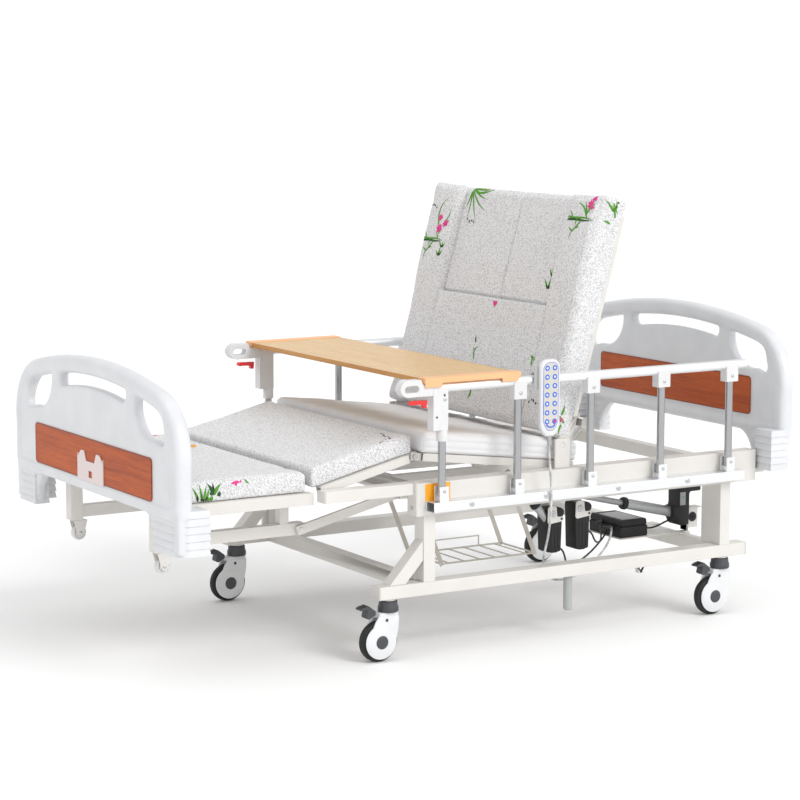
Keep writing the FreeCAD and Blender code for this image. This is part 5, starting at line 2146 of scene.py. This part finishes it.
@dataclass
class Drive:
    """The three motors with their guide tubes, brackets and pivots, and the control box.

    Attributes:
        back_origin: Where the back drive's screw leaves its motor.
        back_slope: How far that drive rises towards the foot, in degrees.
        knee_origin: Where the knee drive's screw leaves its motor.
        knee_slope: How far the knee drive rises, in degrees.
    """

    back_origin: tuple[float, float, float] = (0.868, -0.282, 0.2995)
    back_slope: float = 13.4
    knee_origin: tuple[float, float, float] = (0.268, -0.412, 0.345)
    knee_slope: float = 48.0

    def build(self) -> None:
        """Make the motors and the box and dress the rods."""
        carried("back_rod", Finishes.ROD)
        carried("knee_rod", Finishes.ZINC)
        self.back_drive()
        self.small_motor("knee", 0.246, 0.306, 0.250, 0.392)
        self.small_motor("leg", 0.352, 0.412, 0.250, 0.400)
        self.guide("knee", self.knee_origin, self.knee_slope, 0.090, 0.013, 0.0086)
        stub = lathe(
            "leg_guide", [(0, 0.09), (0.010, 0.09), (0.013, 0.087), (0.013, 0.0), (0, 0.0)],
            (0.382, -0.402, 0.345), (0, 0, 1), 40)
        place(stub, Finishes.ROD, "root", "actuator_bodies")
        self.control_box()

    def guide(self, name: str, origin: Point, slope: float, long: float, outer: float, bore: float) -> None:
        """A bored guide tube with a dark wiper ring at its mouth.

        Args:
            name: The drive's name.
            origin: Where it leaves the motor.
            slope: How far it rises towards the foot, in degrees.
            long: Its length.
            outer: Its outer radius.
            bore: Its bore's radius.
        """
        lean = math.radians(slope)
        axis = Vector((-math.cos(lean), 0, math.sin(lean)))
        tube = lathe(
            f"{name}_guide", [(bore, 0), (outer, 0), (outer, long - 0.002), (outer - 0.001, long),
                (bore, long), (bore, 0)], origin, axis, 48)
        place(tube, Finishes.GUIDE, "root", "actuator_bodies")
        mouth = Vector(origin) + axis * (long - 0.016)
        ring = lathe(
            f"{name}_wiper", [(bore, 0), (outer + 0.0005, 0), (outer + 0.0035, 0.003),
                (outer + 0.0035, 0.012), (outer + 0.001, 0.0175), (bore, 0.0175)], mouth, axis, 48)
        place(ring, Finishes.BLACK, "root")

    def small_motor(self, name: str, foot: float, head: float, low: float, high: float) -> None:
        """An upright motor housing that narrows downwards, in its white bracket.

        Args:
            name: The drive's name.
            foot: Its foot-end X.
            head: Its head-end X.
            low: Its lowest Z.
            high: Its highest Z.
        """
        near, far = -0.432, -0.372
        taper = 0.005
        side = traced(
            [(foot + taper, low + 0.012), (foot + taper + 0.004, low + 0.003, foot + 0.016, low + 0.003),
                (foot + 0.020, low), (head - 0.020, low), (head - 0.016, low + 0.003),
                (head - taper - 0.004, low + 0.003, head - taper, low + 0.012), (head, high - 0.006),
                (head - 0.003, high - 0.001, head - 0.008, high), (foot + 0.008, high),
                (foot + 0.003, high - 0.001, foot, high - 0.006)], 1, 6)
        body = slab(f"{name}_motor", [side], (-far, -near), FACING_Y, 0.005)
        place(body, Finishes.BLACK, "root", "actuator_bodies")
        for number in range(3):
            x = (foot + head) / 2 + (number - 1) * 0.013
            lug = rounded_box(
                f"{name}_motor_rib_{number}", (x - 0.0012, near - 0.0012, low + 0.012),
                (x + 0.0012, near + 0.002, high - 0.060), 0.0008, 2)
            place(lug, Finishes.BLACK, "root")
        middle = (foot + head) / 2
        plate = traced(
            [(middle - 0.030, high - 0.038), (middle - 0.026, high - 0.046, middle - 0.018, high - 0.047),
                (middle + 0.026, high - 0.042), (middle + 0.030, high - 0.039),
                (middle + 0.030, high - 0.026), (middle + 0.006, high - 0.026),
                (middle + 0.004, high - 0.004), (middle + 0.001, high + 0.006, middle - 0.012, high + 0.008),
                (middle - 0.026, high + 0.006, middle - 0.029, high - 0.004)], 1, 8)
        bracket = slab(f"{name}_bracket", [plate], (-near + 0.0012, -near + 0.0048), FACING_Y, 0.0012)
        place(bracket, Finishes.POWDER, "root")
        pin = lathe(
            f"{name}_pivot", [(0, 0.0085), (0.0035, 0.0085), (0.0045, 0.0075), (0.0045, 0.005),
                (0.0095, 0.0045), (0.0105, 0.0035), (0.0105, 0), (0, 0)],
            (middle - 0.012, near - 0.0047, high - 0.016), (0, -1, 0), 32)
        place(pin, Finishes.ZINC, "root")
        disc = lathe(
            f"{name}_gear_cap", [(0, 0.006), (0.011, 0.0055), (0.0145, 0.004), (0.0155, 0), (0, 0)],
            (middle + 0.017, near, high - 0.014), (0, -1, 0), 40)
        place(disc, Finishes.BLACK, "root")
        bolt = lathe(
            f"{name}_bracket_bolt", [(0, 0.003), (0.0028, 0.0028), (0.0036, 0.0014), (0.0038, 0), (0, 0)],
            (middle + 0.022, near - 0.0047, high - 0.034), (0, -1, 0), 20)
        place(bolt, Finishes.CAP, "root")

    def back_drive(self) -> None:
        """The long head-end drive: guide tube, housing, type plate and clevis."""
        self.guide("back", self.back_origin, self.back_slope, 0.230, 0.017, 0.0106)
        side = traced(
            [(0.8560, 0.398), (0.8565, 0.336), (0.8545, 0.326), (0.8370, 0.322), (0.8340, 0.318),
                (0.8330, 0.300), (0.8360, 0.292), (0.8450, 0.286), (0.8500, 0.276),
                (0.8600, 0.263, 0.8720, 0.261), (0.8965, 0.262), (0.8985, 0.300), (0.8985, 0.366),
                (0.9040, 0.372), (0.9420, 0.372), (0.9450, 0.376), (0.9450, 0.398)], 1, 6)
        body = slab("back_motor", [side], (0.250, 0.315), FACING_Y, 0.005)
        place(body, Finishes.BLACK, "root", "actuator_bodies")
        plate = rounded_box(
            "back_type_plate", (0.8575, -0.3176, 0.3300), (0.8790, -0.3148, 0.3730), 0.0006, 2)
        place(plate, Finishes.LABEL, "root")
        lamp = lathe(
            "back_type_lamp", [(0, 0.0012), (0.0026, 0.0010), (0.0032, 0), (0, 0)], (0.8700, -0.3175, 0.356),
            (0, -1, 0), 20)
        place(lamp, Finishes.GREEN, "root")
        for tag, low in (("near", -0.3005), ("far", -0.2720)):
            cheek = rounded_box(
                f"back_clevis_{tag}", (0.8990, low, 0.2480), (0.9430, low + 0.0062, 0.3130), 0.0012, 2)
            place(cheek, Finishes.POWDER, "root", "actuator_bodies")
        foot = rounded_box(
            "back_clevis_foot", (0.8980, -0.3005, 0.2390), (0.9040, -0.2655, 0.2720), 0.0012, 2)
        place(foot, Finishes.POWDER, "root")
        base = rounded_box("back_clevis_base", (0.8980, -0.3005, 0.2390), (0.9035, -0.2655, 0.2620), 0.001, 2)
        place(base, Finishes.POWDER, "root")
        shelf = rounded_box(
            "back_clevis_shelf", (0.8990, -0.3005, 0.3120), (0.9590, -0.2655, 0.3160), 0.0012, 2)
        place(shelf, Finishes.POWDER, "root")
        disc = lathe(
            "back_clevis_pin", [(0, 0.006), (0.004, 0.006), (0.005, 0.005), (0.005, 0.003), (0.0150, 0.0025),
                (0.0162, 0.001), (0.0162, 0), (0, 0)], (0.921, -0.3005, 0.284), (0, -1, 0), 36)
        place(disc, Finishes.BLACK, "root")

    def control_box(self) -> None:
        """The sealed box with its lid seam, grey plate, end flange and cable glands."""
        body = rounded_box("control_box_body", (0.630, -0.300, 0.2390), (0.738, -0.120, 0.2745), 0.004, 3)
        place(body, Finishes.BLACK, "root", "control_box")
        lid = rounded_box("control_box_lid", (0.632, -0.2985, 0.2735), (0.736, -0.1215, 0.2962), 0.006, 4)
        place(lid, Finishes.BLACK, "root")
        plate = rounded_box("control_box_plate", (0.646, -0.284, 0.2955), (0.722, -0.150, 0.2970), 0.0006, 2)
        place(plate, Finishes.LABEL, "root")
        for number in range(5):
            y = -0.272 + number * 0.036
            rib = rounded_box(
                f"control_box_rib_{number}", (0.7352, y - 0.003, 0.246), (0.7388, y + 0.003, 0.292), 0.001, 2)
            place(rib, Finishes.BLACK, "root")
        for number, (y, z) in enumerate(((-0.246, 0.268), (-0.222, 0.262), (-0.190, 0.276))):
            gland = lathe(
                f"control_box_gland_{number}", [(0.0032, 0.024), (0.0046, 0.0235), (0.0062, 0.010),
                    (0.0078, 0.004), (0.0078, 0), (0.0032, 0)], (0.6305, y, z), (-1, 0, 0), 28)
            place(gland, Finishes.CAP, "root")


@dataclass
class OverbedTable:
    """The lift-off tabletop with its darker edges and moulded end clips.

    Attributes:
        foot: Its foot-end X.
        head: Its head-end X.
        half: Half the board's width.
        low: The board's underside.
        high: The board's top.
    """

    foot: float = -0.286
    head: float = 0.048
    half: float = 0.530
    low: float = 0.838
    high: float = 0.852

    def build(self) -> None:
        """Dress the board and its clips."""
        carried("table_top", Finishes.BEECH)
        for tag, x in (("foot", self.foot), ("head", self.head)):
            band = rounded_box(
                f"table_edge_{tag}", (x - 0.0014, -self.half + 0.001, self.low - 0.0003),
                (x + 0.0014, self.half - 0.001, self.high + 0.0003), 0.0009, 2)
            place(band, Finishes.BEECH_EDGE, "table")
        refined("table_clips", Finishes.PEACH, 0.0032)


@dataclass
class Frames:
    """The powder-coated frames, their plugs and bolts, and the small trim on them."""

    tubes: Sequence[str] = (
        "base_frame", "main_frame", "back_frame", "seat_frame", "calf_frame", "foot_frame")

    def build(self) -> None:
        """Dress every frame node."""
        for node in self.tubes:
            refined(node, Finishes.POWDER, 0.0022)
        refined("leg_links", Finishes.POWDER, 0.0015)
        refined("rail_bars", Finishes.SATIN, 0.0016)
        refined("rail_brackets", Finishes.SATIN, 0.0010)
        refined("frame_plugs", Finishes.PLUG, 0.0022)
        carried("frame_bolts", Finishes.ZINC)
        carried("knee_shaft", Finishes.ZINC)
        carried("bedpan_rack", Finishes.WIRE)
        refined("hook_plate", Finishes.HOOK, 0.0009)
        for tag, y in (("near", -0.0925), ("far", 0.0925)):
            flange = rounded_box(
                f"hook_plate_flange_{tag}", (-1.1119, min(y, y * 0.968), 0.534),
                (-1.1062, max(y, y * 0.968), 0.612), 0.0008, 2)
            place(flange, Finishes.HOOK, "foot_section")
        reflector = rounded_box(
            "amber_reflector", (-0.257, -0.5206, 0.474), (-0.169, -0.5188, 0.5285), 0.0008, 3)
        place(reflector, Finishes.AMBER, "root")
        sleeve = lathe(
            "rest_peg_sleeve", [(0, 0.079), (0.010, 0.0792), (0.0135, 0.083), (0.0139, 0.090),
                (0.0139, 0.186), (0.0132, 0.189), (0, 0.189)], (0.285, -0.492, 0.0), (0, 0, 1), 40)
        place(sleeve, Finishes.GREY, "root")
        hook = slab(
            "cable_hook", [[(0.5385, 0.190), (0.5425, 0.190), (0.5492, 0.1795), (0.5585, 0.1895),
                    (0.5620, 0.1895), (0.5505, 0.1725), (0.5475, 0.1725)]], (0.5130, 0.5195), FACING_Y,
            0.0008)
        place(hook, Finishes.BLACK, "root")
        self.small_casters()

    def small_casters(self) -> None:
        """The two small wheels under the foot section, with fork cheeks and axle bolts."""
        x, z = -1.021, 0.323
        tread = [
            (0.0031, -0.0108), (0.0075, -0.0108), (0.009, -0.0085), (0.0165, -0.0085), (0.018, -0.0108),
            (0.0205, -0.0104), (0.0226, -0.0070), (0.0230, -0.0030), (0.0230, 0.0030), (0.0226, 0.0070),
            (0.0205, 0.0104), (0.018, 0.0108), (0.0165, 0.0085), (0.009, 0.0085), (0.0075, 0.0108),
            (0.0031, 0.0108), (0.0031, -0.0108)]
        for sign in (-1, 1):
            y = sign * 0.300
            tag = "far" if sign > 0 else "near"
            place(
                lathe(f"small_wheel_{tag}", tread, (x, y, z), (0, 1, 0), 64), Finishes.NYLON, "foot_casters",
                "foot_caster_wheels")
            for turn in (-1, 1):
                cheek = traced(
                    [(x - 0.0235, 0.3645), (x - 0.0185, 0.346), (x - 0.0105, z - 0.004),
                        (x, z - 0.0115, x + 0.0105, z - 0.004), (x + 0.0185, 0.346), (x + 0.0235, 0.3645)], 1,
                    8)
                face = -y + turn * 0.01685
                plate = slab(
                    f"small_fork_{tag}_{turn + 1}", [cheek], (face - 0.0009, face + 0.0009), FACING_Y, 0.0006)
                place(plate, Finishes.POWDER, "foot_section")
                nut = lathe(
                    f"small_axle_{tag}_{turn + 1}", [(0, 0.0038), (0.0032, 0.0036), (0.0052, 0.0026),
                        (0.0054, 0), (0, 0)], (x, y - turn * 0.0176, z), (0, -turn, 0), 6)
                place(nut, Finishes.ZINC, "foot_section")


@dataclass
class Studio:
    """Camera, floor and light.

    Attributes:
        place: Where the camera stands.
        pitch: Its turn about X, in degrees.
        roll: Its turn about its own line of sight.
        heading: Its turn about Z.
        lens: Its focal length, in millimetres.
    """

    place: tuple[float, float, float] = (-4.081, -6.7069, 1.7841)
    pitch: float = 82.253
    roll: float = 0.115
    heading: float = -31.36
    lens: float = 111.16
    shift: tuple[float, float] = (-0.0128, -0.0049)

    def build(self) -> None:
        """Set up the whole studio."""
        self.camera()
        self.floor()
        self.light()

    def camera(self) -> None:
        """The camera."""
        data = bpy.data.cameras.new("view")
        data.lens = self.lens
        data.sensor_width = 36.0
        data.shift_x, data.shift_y = self.shift
        data.clip_end = 200
        camera = bpy.data.objects.new("view", data)
        turn = (
            Matrix.Rotation(math.radians(self.heading), 4, "Z")
            @ Matrix.Rotation(math.radians(self.pitch), 4, "X")
            @ Matrix.Rotation(math.radians(self.roll), 4, "Z"))
        camera.matrix_world = Matrix.Translation(self.place) @ turn
        bpy.context.scene.collection.objects.link(camera)
        bpy.context.scene.camera = camera

    def floor(self) -> None:
        """A wide pale floor."""
        bpy.ops.mesh.primitive_plane_add(size=160, location=(0, 0, 0))
        floor = bpy.context.object
        floor.name = "studio_floor"
        wiring = Wiring("pale_studio_floor")
        wiring.set(Base_Color=(0.93, 0.93, 0.93, 1), Roughness=0.9, Specular_IOR_Level=0.0)
        floor.data.materials.append(wiring.material)

    def light(self) -> None:
        """An even white surround and one soft key from the near side."""
        world = bpy.context.scene.world or bpy.data.worlds.new("studio")
        bpy.context.scene.world = world
        world.use_nodes = True
        background = world.node_tree.nodes.get("Background") or world.node_tree.nodes.new(
            "ShaderNodeBackground")
        background.inputs["Color"].default_value = (1, 1, 1, 1)
        nodes, links = world.node_tree.nodes, world.node_tree.links
        where = nodes.new("ShaderNodeTexCoord")
        parts = nodes.new("ShaderNodeSeparateXYZ")
        fall = nodes.new("ShaderNodeMapRange")
        for socket, value in (("From Min", 0.10), ("From Max", 0.40), ("To Min", 1.06), ("To Max", 0.80)):
            fall.inputs[socket].default_value = value
        links.new(where.outputs["Generated"], parts.inputs["Vector"])
        links.new(parts.outputs["Z"], fall.inputs["Value"])
        links.new(fall.outputs["Result"], background.inputs["Strength"])
        for name, power, spread, direction in (
                ("key", 1.4, 26, (-0.25, 0.85, -0.62)), ("top", 0.35, 50, (0.25, 0.1, -1.0))):
            data = bpy.data.lights.new(name, "SUN")
            data.energy = power
            data.angle = math.radians(spread)
            lamp = bpy.data.objects.new(name, data)
            lamp.rotation_euler = Vector(direction).to_track_quat("-Z", "Y").to_euler()
            bpy.context.scene.collection.objects.link(lamp)
        bpy.context.scene.view_settings.view_transform = "Standard"


def reported(name: str, work: Callable[[], object]) -> object:
    """Build one sub-assembly and say so.

    Args:
        name: What it is called.
        work: What builds it.

    Returns:
        What the work returns.
    """
    result = work()
    LOG.info("%s is built", name)
    return result


def main() -> None:
    """Build the bed's looks in order."""
    logging.basicConfig(level=logging.INFO, format="%(name)s: %(message)s")
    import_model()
    reported("studio", Studio().build)
    glands = reported("handset", Handset().build)
    reported("cords", lambda: Cords().build(glands))
    reported("frames", Frames().build)
    foot = EndBoard(End.FOOT, 398, (-1111.5, -1055), (-1105.8, -1074), (-1111.5, -1006), "foot_section", 127)
    head = EndBoard(End.HEAD, 467, (1055, 1111.5), (1062.2, 1096), (1111, 1012), "root", 152)
    reported("foot board", foot.build)
    reported("head board", head.build)
    foot.wood("foot_wood_panel", 537, -1109, -0.25)
    head.wood("head_wood_panel", 631, 1059, -0.25)
    for side in Side:
        reported(f"{side.label} rail", SideRail(side).build)
        for end, wheel_x in ((End.FOOT, -0.4045), (End.HEAD, 0.8515)):
            reported(f"{side.label} {end.label} caster", Caster(side, end, wheel_x).build)
    reported("drive", Drive().build)
    reported("table", OverbedTable().build)
    reported("back cushion", BackCushion().build)
    reported("seat cushion", SeatCushion().build)
    reported("leg cushions", LegCushions().build)


if __name__ == "__main__":
    main()
